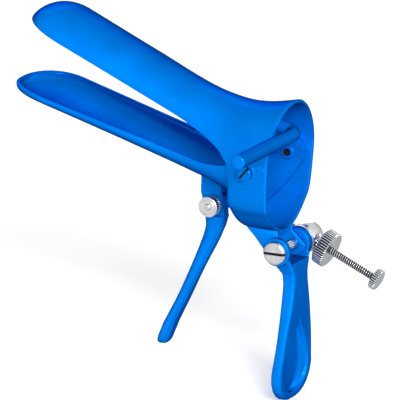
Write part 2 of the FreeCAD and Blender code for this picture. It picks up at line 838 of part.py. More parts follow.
def make_rear_handle():
    ring = size("ear_ring_radius")
    gap = size("clevis_half_gap")
    outer_x = gap + size("clevis_wall")
    neck = size("neck_half_width")
    palm = size("palm_half_width")
    end_z = size("rear_handle_end_z")
    palm_z = size("palm_z")
    thick = size("neck_thickness") / 2
    thin = size("palm_thickness") / 2
    floor_z = HINGE.z - ring
    # Level, place of the rear face behind the hinge, half width, half thickness
    form = [(HINGE.z - 0.55 * ring, size("ear_back"), 0.99 * outer_x, 0.86 * ring),
            (floor_z, size("clevis_back"), 0.55 * outer_x + 0.45 * neck, 0.70 * ring),
            (floor_z - size("neck_drop"), size("neck_back"), 0.18 * outer_x + 0.82 * neck, 1.12 * thick),
            (floor_z - size("shank_drop"), size("shank_back"), neck, thick),
            (0.62 * floor_z + 0.38 * palm_z, size("swell_back"), 1.36 * neck, 0.92 * thick),
            (0.30 * floor_z + 0.70 * palm_z, size("broad_back"), 0.84 * palm, 0.75 * thick),
            (palm_z, size("palm_back"), palm, thin)]
    stations = [(z, HINGE.y - rear + half_y, half_x, half_y) for z, rear, half_x, half_y in form]
    bar = lofted_bar(stations, end_z, size("rear_handle_round"), 0.7 * SECTION_STEP)
    rear_line = [(-z, HINGE.y - rear) for z, rear, half_x, half_y in form]
    toe_y = rear_line[-1][1] + 0.21 * (palm_z - end_z)
    rear_line.append((-end_z, toe_y))
    handle = bar.fuse(disc(ring, -outer_x, outer_x, HINGE.y, HINGE.z))
    handle = handle.cut(room_above(gap, floor_z + size("clevis_floor_rise")))
    bore = size("shank_radius") + size("running_gap")
    handle = handle.cut(disc(bore, -WIDE, WIDE, HINGE.y, HINGE.z))
    run = size("recess_top_z") - size("recess_bottom_z")
    levels = [size("recess_top_z") + (0.4 - 0.38 * step) * run for step in range(5)]
    handle = handle.cut(palm_recess([point(guide(rear_line, -z), z) for z in levels]))
    return max(handle.Solids, key=lambda solid: solid.Volume)


def palm_recess(rear):
    """The drop-shaped hollow sunk evenly into the curved rear face."""
    half = size("recess_half_width")
    top_z = size("recess_top_z")
    foot_z = size("recess_bottom_z")
    wide_z = 0.36 * top_z + 0.64 * foot_z
    tip = point(0, top_z)
    right = [tip, point(0, 0.62 * top_z + 0.38 * foot_z, 0.62 * half), point(0, wide_z, half),
             point(0, foot_z)]
    drop = spline_edge(right, FreeCAD.Vector(0.55, 0, -1), FreeCAD.Vector(-1, 0, 0))
    other = drop.mirror(FreeCAD.Vector(), FreeCAD.Vector(1, 0, 0))
    column = prism([drop, other], point(WIDE, 0))
    depth = point(size("recess_depth"), 0)
    inner = [p + depth for p in rear]
    curve = spline_edge(inner, FreeCAD.Vector(0, 0, -1), point(0.3, -1))
    behind = line_edges([inner[-1], point(-WIDE, inner[-1].z), point(-WIDE, inner[0].z), inner[0]])
    return column.common(prism([curve] + behind, across(WIDE / 2)))


def slot_across(label_body, role, face, radius):
    """A screwdriver slot across a head whose face lies at the given X."""
    half = "screw_slot_width / 2"
    corners = [(face, "-" + half), (face + " + screw_slot_depth", "-" + half),
               (face + " + screw_slot_depth", half), (face, half)]
    return cut_outline(label_body, role, corners, f"2.4 * {radius}")


# Build the sculpted pieces

upper_blade_shape = make_upper_blade()
lower_blade_shape, lower_outer_shape = make_lower_blade()
pieces = [
    sculpted("upper_blade", upper_blade_shape),
    sculpted("lower_blade", lower_blade_shape),
    sculpted("thumb_bar", make_thumb_bar(upper_blade_shape)),
    sculpted("handle_bracket", make_bracket(lower_outer_shape)),
    sculpted("front_handle", make_front_handle()),
    sculpted("rear_handle", make_rear_handle()),
]

# Side pivots: a slotted shoulder screw outside and a threaded bush in each ear

PIVOT_SLOT_TURN = 40
KNOB_RIDGES = 30
WHEEL_RIDGES = 44
CAP_RIDGES = 28


def make_side_pivot(side, turn):
    screw = turned(f"{side}_pivot_screw", [
        ("-collar_boss_outer_x - face_gap - pivot_head_height", "0"),
        ("-collar_boss_outer_x - face_gap - pivot_head_height", "pivot_head_radius - head_chamfer"),
        ("-collar_boss_outer_x - face_gap - pivot_head_height + head_chamfer", "pivot_head_radius"),
        ("-collar_boss_outer_x - face_gap", "pivot_head_radius"),
        ("-collar_boss_outer_x - face_gap", "pivot_radius"),
        ("-ear_boss_outer_x - face_gap", "pivot_radius"),
        ("-ear_boss_outer_x - face_gap", "pivot_thread_radius - thread_gap"),
        ("-ear_half_width + blade_wall - screw_end_gap", "pivot_thread_radius - thread_gap"),
        ("-ear_half_width + blade_wall - screw_end_gap", "0"),
    ])
    head_face = "-collar_boss_outer_x - face_gap - pivot_head_height"
    slot_across(screw, "XY_Plane", head_face, "pivot_head_radius")
    bush = turned(f"{side}_pivot_bush", [
        ("-ear_half_width + blade_wall + bush_flange_height", "pivot_thread_radius"),
        ("-ear_half_width + blade_wall + bush_flange_height", "bush_flange_radius - small_chamfer"),
        ("-ear_half_width + blade_wall + bush_flange_height - small_chamfer", "bush_flange_radius"),
        ("-ear_half_width + blade_wall", "bush_flange_radius"),
        ("-ear_half_width + blade_wall", "bush_radius"),
        ("-ear_boss_outer_x", "bush_radius"),
        ("-ear_boss_outer_x", "pivot_thread_radius"),
    ])
    facing = FreeCAD.Rotation(FreeCAD.Vector(0, 0, 1), turn)
    slot_turn = FreeCAD.Rotation(FreeCAD.Vector(1, 0, 0), PIVOT_SLOT_TURN)
    screw.Placement = FreeCAD.Placement(FreeCAD.Vector(), facing.multiply(slot_turn))
    bush.Placement = FreeCAD.Placement(FreeCAD.Vector(), facing)
    return [screw, bush]


pieces += make_side_pivot("left", 0) + make_side_pivot("right", 180)

# Bolt through the bracket: journal, spacer seat and pin for the rod's eye

cheek_face = "(cheek_gap + cheek_wall)"
knob_seat = f"(-{cheek_face} - washer_thickness - face_gap)"
knob_face = f"({knob_seat} - knob_thickness)"
eye_from = "(ball_x - rod_eye_thickness / 2)"
nut_face = "(ball_x + rod_eye_thickness / 2 + small_chamfer)"
at_bolt = {"y": "bolt_y", "z": "bolt_z"}

pieces.append(turned("handle_bolt", [
    (f"{knob_face} - knob_boss", "0"),
    (f"{knob_face} - knob_boss", "bolt_thread_radius - thread_gap - small_chamfer"),
    (f"{knob_face} - knob_boss + small_chamfer", "bolt_thread_radius - thread_gap"),
    (f"-{cheek_face}", "bolt_thread_radius - thread_gap"),
    (f"-{cheek_face}", "bolt_radius"),
    (cheek_face, "bolt_radius"),
    (cheek_face, "anchor_radius"),
    ("bolt_end_x - small_chamfer", "anchor_radius"),
    ("bolt_end_x", "anchor_radius - small_chamfer"),
    ("bolt_end_x", "0"),
], **at_bolt))
pieces.append(turned("knob_washer", [
    (f"-{cheek_face} - washer_thickness", "bolt_thread_radius + running_gap"),
    (f"-{cheek_face} - washer_thickness", "washer_radius"),
    (f"-{cheek_face}", "washer_radius"),
    (f"-{cheek_face}", "bolt_thread_radius + running_gap"),
], **at_bolt))
knob = turned("knurled_knob", [
    (knob_face, "bolt_thread_radius"),
    (knob_face, "knob_radius - knob_chamfer"),
    (f"{knob_face} + knob_chamfer", "knob_radius"),
    (f"{knob_seat} - knob_neck", "knob_radius"),
    (f"{knob_seat} - knob_neck", "knob_radius - knob_neck"),
    (knob_seat, "knob_radius - knob_neck"),
    (knob_seat, "bolt_thread_radius"),
], **at_bolt)
knurl(knob, "YZ_Plane", "knob_radius", "knob_groove", f"-2 * {knob_face}", KNOB_RIDGES, "X_Axis")
pieces.append(knob)
pieces.append(turned("spacer_sleeve", [
    (cheek_face, "anchor_radius + thread_gap"),
    (cheek_face, "spacer_radius"),
    (f"{eye_from} - small_chamfer", "spacer_radius"),
    (f"{eye_from} - small_chamfer", "anchor_radius + thread_gap"),
], **at_bolt))
pieces.append(turned("rod_eye_nut", [
    (nut_face, "anchor_radius + thread_gap"),
    (nut_face, "eye_nut_radius - small_chamfer"),
    (f"{nut_face} + small_chamfer", "eye_nut_radius"),
    (f"{nut_face} + eye_nut_thickness - small_chamfer", "eye_nut_radius"),
    (f"{nut_face} + eye_nut_thickness", "eye_nut_radius - small_chamfer"),
    (f"{nut_face} + eye_nut_thickness", "anchor_radius + thread_gap"),
], **at_bolt))

# Ball trunnion, its washer and the slotted screw at the rear handle's hinge

ear_face = "(clevis_half_gap + clevis_wall)"
at_hinge = {"y": "hinge_y", "z": "hinge_z"}


def make_trunnion():
    """Shank turned as a body, ball fused to it, bored along the rod and threaded inside."""
    r = size("ball_radius")
    x = size("ball_x")
    ear = size("clevis_half_gap") + size("clevis_wall")
    gap = size("face_gap")
    neck_x = ear + 2 * gap + size("ball_washer_thickness")
    shank = disc(size("shank_radius"), -ear - gap, x, HINGE.y, HINGE.z)
    neck = disc(size("ball_neck_radius"), neck_x, x, HINGE.y, HINGE.z)
    ball = Part.makeSphere(r, point(HINGE.y, HINGE.z, x))
    solid = ball.fuse([shank, neck])
    along = point(math.cos(ROD_ANGLE), math.sin(ROD_ANGLE))
    start = point(HINGE.y, HINGE.z, x) - along * 2 * r
    solid = solid.cut(Part.makeCylinder(size("rod_radius") + size("rod_clearance"), 4 * r, start, along))
    depth = size("hinge_screw_reach") + size("edge_margin")
    tapped = disc(size("hinge_screw_thread_radius"), -WIDE, -ear + depth, HINGE.y, HINGE.z)
    return solid.cut(tapped)


pieces.append(sculpted("ball_trunnion", make_trunnion()))
pieces.append(turned("ball_washer", [
    (f"{ear_face} + face_gap", "shank_radius + running_gap"),
    (f"{ear_face} + face_gap", "ball_washer_radius"),
    (f"{ear_face} + face_gap + ball_washer_thickness", "ball_washer_radius"),
    (f"{ear_face} + face_gap + ball_washer_thickness", "shank_radius + running_gap"),
], **at_hinge))
hinge_head_face = f"-{ear_face} - face_gap - hinge_screw_head_height"
hinge_screw = turned("hinge_screw", [
    (hinge_head_face, "0"),
    (hinge_head_face, "hinge_screw_head_radius - hinge_screw_head_chamfer"),
    (f"{hinge_head_face} + hinge_screw_head_chamfer", "hinge_screw_head_radius"),
    (f"-{ear_face} - face_gap", "hinge_screw_head_radius"),
    (f"-{ear_face} - face_gap", "hinge_screw_thread_radius - thread_gap"),
    (f"-{ear_face} + hinge_screw_reach", "hinge_screw_thread_radius - thread_gap"),
    (f"-{ear_face} + hinge_screw_reach", "0"),
], **at_hinge)
slot_across(hinge_screw, "XZ_Plane", hinge_head_face, "hinge_screw_head_radius")
pieces.append(hinge_screw)

# Rod, wheel nut, end cap and eye, all turned about the rod's own Y axis

rod_length = "sqrt((bolt_y - hinge_y) ^ 2 + (bolt_z - hinge_z) ^ 2)"
on_rod = {"x": "ball_x", "y": "hinge_y", "z": "hinge_z", "tilt": ROD_TILT}
eye_seat = f"({rod_length} - rod_eye_radius - rod_eye_socket_length)"
cap_front = "(cap_thickness - rod_behind_ball)"

pieces.append(turned("threaded_rod", [
    ("-rod_behind_ball + small_chamfer", "0"),
    ("-rod_behind_ball + small_chamfer", "rod_shank_radius"),
    (cap_front, "rod_shank_radius"),
    (cap_front, "rod_radius"),
    (eye_seat, "rod_radius"),
    (eye_seat, "rod_shank_radius"),
    (f"{rod_length} - rod_eye_bore - rod_end_gap", "rod_shank_radius"),
    (f"{rod_length} - rod_eye_bore - rod_end_gap", "0"),
], role="YZ_Plane", **on_rod))
wheel = turned("adjusting_nut", [
    ("-wheel_gap", "rod_radius + thread_gap"),
    ("-wheel_gap", "wheel_radius - wheel_taper"),
    ("-wheel_gap - wheel_shoulder", "wheel_radius"),
    ("-wheel_gap - wheel_thickness + wheel_chamfer", "wheel_radius"),
    ("-wheel_gap - wheel_thickness", "wheel_radius - wheel_chamfer"),
    ("-wheel_gap - wheel_thickness", "rod_radius + thread_gap"),
], role="YZ_Plane", **on_rod)
wheel_reach = "2 * (wheel_gap + wheel_thickness + edge_margin)"
knurl(wheel, "XZ_Plane", "wheel_radius", "wheel_groove", wheel_reach, WHEEL_RIDGES, "Y_Axis")
pieces.append(wheel)
cap = turned("end_cap", [
    ("-rod_behind_ball", "0"),
    ("-rod_behind_ball", "cap_radius - head_chamfer"),
    ("-rod_behind_ball + head_chamfer", "cap_radius"),
    (f"{cap_front} - small_chamfer", "cap_radius"),
    (cap_front, "cap_radius - small_chamfer"),
    (cap_front, "rod_shank_radius + thread_gap"),
    ("-rod_behind_ball + small_chamfer", "rod_shank_radius + thread_gap"),
    ("-rod_behind_ball + small_chamfer", "0"),
], role="YZ_Plane", **on_rod)
cap_reach = "2 * (rod_behind_ball + edge_margin)"
knurl(cap, "XZ_Plane", "cap_radius", "cap_groove", cap_reach, CAP_RIDGES, "Y_Axis")
pieces.append(cap)


def make_rod_eye():
    """A ring round the pin and a short socket that takes the rod's end."""
    half = size("rod_eye_thickness") / 2
    x = size("ball_x")
    length = math.hypot(BOLT.y - HINGE.y, BOLT.z - HINGE.z)
    seat = length - size("rod_eye_radius") - size("rod_eye_socket_length")
    along = point(math.cos(ROD_ANGLE), math.sin(ROD_ANGLE))
    ball = point(HINGE.y, HINGE.z, x)
    ring = disc(size("rod_eye_radius"), x - half, x + half, BOLT.y, BOLT.z)
    socket_radius = size("rod_eye_socket_radius")
    socket = Part.makeCylinder(socket_radius, length - seat, ball + along * seat, along)
    eye = ring.fuse(socket)
    eye = eye.cut(disc(size("rod_eye_bore"), -WIDE, WIDE, BOLT.y, BOLT.z))
    bore = size("rod_shank_radius") + size("thread_gap")
    deep = length - size("rod_eye_bore") - size("rod_end_gap") + size("thread_gap")
    return eye.cut(Part.makeCylinder(bore, deep - seat, ball + along * seat, along))


pieces.append(sculpted("rod_eye", make_rod_eye()))

# Test every object, then write one file per piece

doc.recompute()
for thing in doc.Objects:
    if "Invalid" in thing.State or "Error" in thing.State:
        raise RuntimeError(f"{thing.Label} did not build: {thing.State}")
for piece in pieces:
    if piece.Shape.isNull() or not piece.Shape.isValid():
        raise RuntimeError(f"{piece.Label} is not a valid shape")
    if len(piece.Shape.Solids) != 1:
        raise RuntimeError(f"{piece.Label} has {len(piece.Shape.Solids)} solids")

os.makedirs("parts", exist_ok=True)
for piece in pieces:
    piece.Shape.exportStep(f"parts/{piece.Label}.step")
    box = piece.Shape.BoundBox
    print(f"{piece.Label}: volume {piece.Shape.Volume:.1f}, "
          f"x {box.XMin:.1f} to {box.XMax:.1f}, y {box.YMin:.1f} to {box.YMax:.1f}, "
          f"z {box.ZMin:.1f} to {box.ZMax:.1f}")
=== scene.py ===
import math

import bmesh
import bpy
from mathutils import Matrix, Vector


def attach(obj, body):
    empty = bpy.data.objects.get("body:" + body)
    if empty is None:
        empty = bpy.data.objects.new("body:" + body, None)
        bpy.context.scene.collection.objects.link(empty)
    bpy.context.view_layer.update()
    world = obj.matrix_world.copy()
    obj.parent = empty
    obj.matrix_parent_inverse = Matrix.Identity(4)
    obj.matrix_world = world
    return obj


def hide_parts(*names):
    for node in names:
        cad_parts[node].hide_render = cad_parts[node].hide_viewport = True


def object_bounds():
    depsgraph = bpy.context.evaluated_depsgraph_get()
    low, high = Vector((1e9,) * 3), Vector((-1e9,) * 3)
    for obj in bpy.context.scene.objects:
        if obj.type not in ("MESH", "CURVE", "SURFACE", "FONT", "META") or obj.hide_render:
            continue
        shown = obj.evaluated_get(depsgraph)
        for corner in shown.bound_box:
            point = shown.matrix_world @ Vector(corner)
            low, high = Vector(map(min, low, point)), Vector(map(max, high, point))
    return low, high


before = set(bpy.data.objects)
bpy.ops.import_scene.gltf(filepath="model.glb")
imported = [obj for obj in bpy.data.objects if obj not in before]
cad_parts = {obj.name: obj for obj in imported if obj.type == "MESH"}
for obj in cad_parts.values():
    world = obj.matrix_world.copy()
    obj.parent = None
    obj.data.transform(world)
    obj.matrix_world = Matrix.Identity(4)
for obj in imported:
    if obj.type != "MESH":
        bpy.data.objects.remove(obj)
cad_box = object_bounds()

# Bivalve speculum: shapes are worked out in millimetres and made in metres.

MM = 0.001
X_AXIS = Vector((1, 0, 0))
Z_AXIS = Vector((0, 0, 1))
HINGE = Vector((0, -9.0, -35.7))
BOLT = Vector((0, 24.0, -20.6))
BALL = Vector((19.0, -9.0, -35.7))
ROD_ALONG = Vector((0, BOLT.y - HINGE.y, BOLT.z - HINGE.z)).normalized()
WALL = 1.4
LIP_ROUND = 0.45


# General helpers


def guide(stations, place):
    """Smooth line through (place, value) stations."""
    last = len(stations) - 1
    index = next((i for i in range(last) if place <= stations[i + 1][0]), last - 1)

    def slope(i):
        low, high = stations[max(i - 1, 0)], stations[min(i + 1, last)]
        return (high[1] - low[1]) / (high[0] - low[0])

    (p0, v0), (p1, v1) = stations[index], stations[index + 1]
    span = p1 - p0
    s = (place - p0) / span
    value = v0 * (2 * s ** 3 - 3 * s ** 2 + 1) + v1 * (3 * s ** 2 - 2 * s ** 3)
    return value + span * (slope(index) * (s ** 3 - 2 * s ** 2 + s) + slope(index + 1) * (s ** 3 - s ** 2))


def bisect(low, high, func):
    """Place between low and high where func changes sign."""
    sign = func(low) > 0
    for _ in range(40):
        middle = (low + high) / 2
        if (func(middle) > 0) == sign:
            low = middle
        else:
            high = middle
    return (low + high) / 2


def spread(low, high, count):
    return [low + (high - low) * i / count for i in range(count + 1)]


def new_object(name, mesh, body, slot, *nodes):
    """Put a finished mesh in the scene on its body, standing for its CAD nodes."""
    thing = bpy.data.objects.new(name, mesh)
    bpy.context.scene.collection.objects.link(thing)
    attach(thing, body)
    if nodes:
        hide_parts(*nodes)
    return thing


def mesh_from(name, build):
    """A mesh in metres from a function that fills a bmesh in millimetres."""
    bm = bmesh.new()
    build(bm)
    bmesh.ops.remove_doubles(bm, verts=bm.verts, dist=0.002)
    bmesh.ops.dissolve_degenerate(bm, edges=bm.edges, dist=0.0005)
    bmesh.ops.recalc_face_normals(bm, faces=bm.faces)
    bmesh.ops.scale(bm, vec=Vector((MM, MM, MM)), verts=bm.verts)
    mesh = bpy.data.meshes.new(name)
    bm.to_mesh(mesh)
    bm.free()
    return mesh


def grid_faces(bm, rows):
    """Faces between rows of points, each row with as many points."""
    made = [[bm.verts.new(p) for p in row] for row in rows]
    for first, second in zip(made, made[1:]):
        for a, b, c, d in zip(first, first[1:], second[1:], second):
            bm.faces.new((a, b, c, d))


def smooth_by_angle(thing, degrees=35):
    """Smooth shading, with edges sharper than the angle kept."""
    mesh = thing.data
    for polygon in mesh.polygons:
        polygon.use_smooth = True
    bm = bmesh.new()
    bm.from_mesh(mesh)
    limit = math.radians(degrees)
    for edge in bm.edges:
        edge.smooth = len(edge.link_faces) == 2 and edge.calc_face_angle(0.0) < limit
    bm.to_mesh(mesh)
    bm.free()


def modified(mesh, *steps):
    """The mesh after some modifiers, each given as its kind and its settings."""
    thing = bpy.data.objects.new("Work", mesh)
    bpy.context.scene.collection.objects.link(thing)
    for kind, settings in steps:
        modifier = thing.modifiers.new(kind, kind)
        for key, value in settings.items():
            setattr(modifier, key, value)
    depsgraph = bpy.context.evaluated_depsgraph_get()
    done = bpy.data.meshes.new_from_object(thing.evaluated_get(depsgraph))
    bpy.data.objects.remove(thing)
    return done


def edge_round(width, degrees):
    """Bevel settings for a small round on edges sharper than the angle."""
    return ("BEVEL", {"width": width * MM, "segments": 3, "limit_method": "ANGLE",
                      "angle_limit": math.radians(degrees)})


def thickened(mesh, wall, lip):
    """A shell with rounded edges from an open surface whose normals point out."""
    shell = ("SOLIDIFY", {"thickness": wall * MM, "offset": -1.0, "use_even_offset": True})
    return modified(mesh, shell, edge_round(lip, 50))


def joined(name, meshes):
    """One mesh from several."""
    bm = bmesh.new()
    for mesh in meshes:
        bm.from_mesh(mesh)
    mesh = bpy.data.meshes.new(name)
    bm.to_mesh(mesh)
    bm.free()
    return mesh


def face_out(mesh, place, direction):
    """Turn the surface so that its normal nearest the place follows the direction."""
    nearest = min(mesh.polygons, key=lambda p: (p.center - place).length)
    if nearest.normal.dot(direction) < 0:
        mesh.flip_normals()


def polar(along, radius, angle):
    return Vector((along, radius * math.cos(angle), radius * math.sin(angle)))


def turned_rows(profile, segments, ripple=None):
    """Rows of a turned piece about +X: profile is (along, radius) from one end to the other."""
    rows = []
    for step in range(segments + 1):
        angle = 2 * math.pi * (step % segments) / segments
        row = []
        for along, radius in profile:
            r = ripple(along, radius, angle) if ripple else radius
            row.append(polar(along, r, angle))
        rows.append(row)
    return rows


def softened_profile(profile, size=0.18):
    """Cut each outer corner of a turned profile into a small round."""
    points = [Vector(p) for p in profile]
    out = [points[0]]
    for before, corner, after in zip(points, points[1:], points[2:]):
        reach = min(size, (before - corner).length * 0.4, (after - corner).length * 0.4)
        start = corner + (before - corner).normalized() * reach
        end = corner + (after - corner).normalized() * reach
        for t in (0.0, 0.25, 0.5, 0.75, 1.0):
            out.append(start * (1 - t) ** 2 + corner * 2 * t * (1 - t) + end * t ** 2)
    out.append(points[-1])
    return [(p.x, p.y) for p in out]


def turned(name, profile, segments, ripple=None):
    """Mesh of a turned piece about +X."""
    return mesh_from(name, lambda bm: grid_faces(bm, turned_rows(profile, segments, ripple)))


def placed(mesh, centre, along=X_AXIS):
    """Move a mesh made about +X to its place: centre in mm, along the given axis."""
    rotation = X_AXIS.rotation_difference(along).to_matrix().to_4x4()
    mesh.transform(Matrix.Translation(centre * MM) @ rotation)
    return mesh


def cut(mesh, tool):
    """Take one closed mesh out of another."""
    cutter = bpy.data.objects.new("Cutter", tool)
    bpy.context.scene.collection.objects.link(cutter)
    done = modified(mesh, ("BOOLEAN", {"operation": "DIFFERENCE", "solver": "EXACT", "object": cutter}))
    bpy.data.objects.remove(cutter)
    return done


SLOT_LIP, SLOT_SLACK = 0.08, 0.02


def with_slot(mesh, face_x, depth, width, length, turn):
    """Cut a screwdriver slot across the head whose outer face is at face_x and points to -X."""
    def bar(bm):
        bmesh.ops.create_cube(bm, size=1.0)
        bmesh.ops.scale(bm, vec=Vector((2 * depth, length, width)), verts=bm.verts)
        bmesh.ops.translate(bm, vec=Vector((face_x, 0, 0)), verts=bm.verts)
        bmesh.ops.rotate(bm, matrix=Matrix.Rotation(turn, 3, "X"), verts=bm.verts)
    done = cut(mesh, mesh_from("Slot", bar))
    across = Vector((0, -math.sin(turn), math.cos(turn)))

    # Painted shade: the faces inside the slot get the dark metal.
    def in_slot(place):
        sunk = face_x + SLOT_LIP < place.x < face_x + depth + SLOT_SLACK
        return sunk and abs(place.dot(across)) < width / 2 + SLOT_SLACK
    return marked(done, in_slot)


# Upper blade

SPOON_HALF = 19.6
COLLAR_LOW = -30.5
LEAN = math.tan(math.radians(4.0))
EDGE_SLOPE = math.tan(math.radians(24.9))
NOSE_FULLNESS = 0.85
UPPER_BROAD, UPPER_TIP, UPPER_TIP_HEIGHT = 90.0, 108.0, 10.7
FRONT_CORNER_Y, FRONT_CORNER_Z = 9.8, 2.6
# Share of the half width and of the depth, from the widest line down to the bottom
COLLAR_X = [(-1, 0.985), (0, 1.0), (1, 0.94), (2, 0.76), (3, 0.43), (4, 0.0), (5, -0.43)]
COLLAR_Z = [(-1, -0.35), (0, 0.0), (1, 0.50), (2, 0.70), (3, 0.90), (4, 1.0), (5, 0.90)]


def nose_share(turn):
    return max(math.cos(turn), 0.0) ** NOSE_FULLNESS


def upper_edge(y):
    share = max(y - UPPER_BROAD, 0) / (UPPER_TIP - UPPER_BROAD)
    return 19.5 + (y - 34.0) * EDGE_SLOPE - 1.3 * share ** 2


UPPER_BASE = [(-16.0, 3.0), (0.0, 2.5), (12.0, 4.5)] + [(y, upper_edge(y) - 1) for y in (30.0, 56.0, 90.0)]
UPPER_WIDTH = [(-16.0, 22.6), (0.0, 21.5), (12.0, 19.9), (30.0, 17.2), (56.0, 17.9), (90.0, SPOON_HALF)]
UPPER_HEIGHT = [(-16.0, 25.6), (0.0, 23.1), (12.0, 21.1), (30.0, 13.2), (56.0, 12.2),
                (90.0, UPPER_TIP_HEIGHT)]
UPPER_LOW = [(FRONT_CORNER_Y, FRONT_CORNER_Z), (13.0, 7.3), (18.2, 11.2), (24.8, 15.0), (34.0, 19.5),
             (44.0, upper_edge(44.0)), (UPPER_BROAD, upper_edge(UPPER_BROAD))]
COLLAR_FRONT = [(COLLAR_LOW, 3.6), (-26.5, 7.8), (-17.5, 9.6), (-6.0, 8.9), (FRONT_CORNER_Z, FRONT_CORNER_Y)]
COLLAR_DEPTH = 32.0
MOUTH_REAR = -7.9


def upper_form(y):
    """Base line, half width and dome height at a place along the blade."""
    if y <= UPPER_BROAD:
        return guide(UPPER_BASE, y), guide(UPPER_WIDTH, y), guide(UPPER_HEIGHT, y)
    turn = math.asin(min((y - UPPER_BROAD) / (UPPER_TIP - UPPER_BROAD), 1.0))
    share = nose_share(turn)
    return upper_edge(y) - 1, SPOON_HALF * share, UPPER_TIP_HEIGHT * share ** 1.7


def upper_arch(y, angle):
    base, width, height = upper_form(y)
    return Vector((width * math.cos(angle), y, base + height * math.sin(angle)))


def mouth_y(z):
    return MOUTH_REAR - LEAN * (z - COLLAR_LOW)


def upper_low_angle(y):
    """Angle on the arch where the blade's edge lies."""
    if y >= UPPER_TIP - 0.01:
        return 0.0
    base, _, height = upper_form(y)
    edge = guide(UPPER_LOW, y) if y <= UPPER_BROAD else upper_edge(y)
    share = (edge - base) / max(height, 1e-3)
    return math.asin(max(min(share, 0.97), 0.0))


def upper_surface(bm):
    """Dome and spoon in one grid, and the collar's two sides in a grid each."""
    lines = 44
    mouth_rows = spread(0.0, 1.0, 16)
    rows = []
    for t in mouth_rows:
        row = []
        for turn in spread(0.0, math.pi, 2 * lines):
            y = mouth_y(guide(UPPER_BASE, -10.0) + 24 * math.sin(turn))
            z = upper_arch(y, turn).z
            y = mouth_y(z) * (1 - t) + FRONT_CORNER_Y * t
            row.append(upper_arch(y, turn))
        rows.append(row)
    places = spread(FRONT_CORNER_Y, 36.0, 28)[1:] + spread(36.0, UPPER_BROAD, 32)[1:]
    nose = [UPPER_BROAD + (UPPER_TIP - UPPER_BROAD) * math.sin(a) for a in spread(0.0, math.pi / 2, 18)[1:]]
    for y in places + nose:
        low = upper_low_angle(y)
        rows.append([upper_arch(y, turn) for turn in spread(low, math.pi - low, 2 * lines)])
    grid_faces(bm, rows)
    for side in (1, -1):
        rows = []
        for t in mouth_rows:
            row = []
            for step in spread(0.0, 4.0, 40):
                share_x, share_z = guide(COLLAR_X, step), guide(COLLAR_Z, step)
                y = 0.0
                for _ in range(3):
                    z = upper_form(y)[0] - COLLAR_DEPTH * share_z
                    front = guide(COLLAR_FRONT, max(min(z, FRONT_CORNER_Z), COLLAR_LOW))
                    y = mouth_y(z) * (1 - t) + front * t
                base, width, _ = upper_form(y)
                row.append(Vector((side * width * share_x, y, base - COLLAR_DEPTH * share_z)))
            rows.append(row)
        grid_faces(bm, rows)


# Lower blade

RIM_SLOPE = math.tan(math.radians(15.2))
SPOON, LOWER_TIP, LOWER_TIP_DEPTH = 97.0, 115.4, 5.5
LIP = 0.7


def rim_z(y):
    share = max(y - SPOON, 0) / (LOWER_TIP - SPOON)
    return 0.8 + (y - 24.0) * RIM_SLOPE - 2.0 * share ** 2


LOWER_CENTRE = [(-12.0, 0.0), (0.0, 0.0), (12.0, -1.0)] + [(y, rim_z(y) - LIP) for y in (24.0, 56.0, 97.0)]
LOWER_WIDTH = [(-12.0, 19.3), (0.0, 19.3), (12.0, 17.9), (24.0, 17.0), (56.0, 17.8), (97.0, SPOON_HALF)]
LOWER_DEPTH = [(-12.0, 21.8), (0.0, 18.6), (12.0, 13.9), (24.0, 9.5), (56.0, 7.6), (97.0, LOWER_TIP_DEPTH)]
EAR = 7.6
HEEL_Y, HEEL_Z = 4.4, -20.5
EAR_END = math.atan2(HEEL_Z, HEEL_Y) - math.acos(EAR / math.hypot(HEEL_Y, HEEL_Z))
EAR_REAR = Vector((0, EAR * math.cos(EAR_END), EAR * math.sin(EAR_END)))
EAR_FRONT_Y = EAR * math.cos(math.radians(42))
EAR_RISE = [(EAR_FRONT_Y, 5.09), (7.0, 3.75), (9.0, 2.1), (12.0, 0.9), (17.0, 0.35), (24.0, 0.8),
            (31.0, rim_z(31.0))]


def lower_form(y):
    if y <= SPOON:
        return guide(LOWER_CENTRE, y), guide(LOWER_WIDTH, y), guide(LOWER_DEPTH, y)
    turn = math.asin(min((y - SPOON) / (LOWER_TIP - SPOON), 1.0))
    share = nose_share(turn)
    return rim_z(y) - LIP, SPOON_HALF * share, LOWER_TIP_DEPTH * share ** 0.7


def lower_top(y):
    if y >= 24.0:
        return rim_z(y)
    if y > EAR_FRONT_Y:
        return guide(EAR_RISE, y)
    return math.sqrt(max(EAR ** 2 - y ** 2, 0.0))


def heel_line(y):
    """Lower rear outline in the side view: round of the ear, then the straight heel."""
    if y < EAR_REAR.y:
        return -math.sqrt(max(EAR ** 2 - y ** 2, 0.0))
    return EAR_REAR.z + (y - EAR_REAR.y) * (HEEL_Z - EAR_REAR.z) / (HEEL_Y - EAR_REAR.y)


def lower_surface(bm):
    """Trough and ear of each side, from the heel to the tip."""
    closed_from = bisect(-6.0, HEEL_Y, lambda y: heel_line(y) - lower_form(y)[0] + lower_form(y)[2])
    heel = [-EAR * math.cos(a) for a in spread(0.02, math.pi / 2, 18)]
    heel = [y for y in heel if y < EAR_REAR.y] + spread(EAR_REAR.y, closed_from, 24)[:-1]
    places = heel + spread(closed_from, 26.0, 26) + spread(26.0, SPOON, 44)[1:]
    places += [SPOON + (LOWER_TIP - SPOON) * math.sin(a) for a in spread(0.0, math.pi / 2, 18)[1:]]
    for side in (1, -1):
        rows = []
        for y in places:
            centre, width, depth = lower_form(y)
            depth = max(depth, 1e-3)
            top = lower_top(y) - centre
            low = -depth * math.pi / 2
            if y < closed_from - 1e-6:
                drop = heel_line(y) - centre
                low = depth * math.asin(max(drop / depth, -1.0)) if drop < 0 else drop
            row = []
            for u in spread(low, top, 36):
                turn = min(u, 0.0) / depth
                rise = depth * math.sin(turn) if u < 0 else u
                row.append(Vector((side * width * math.cos(turn), y, centre + rise)))
            rows.append(row)
        grid_faces(bm, rows)


# Materials


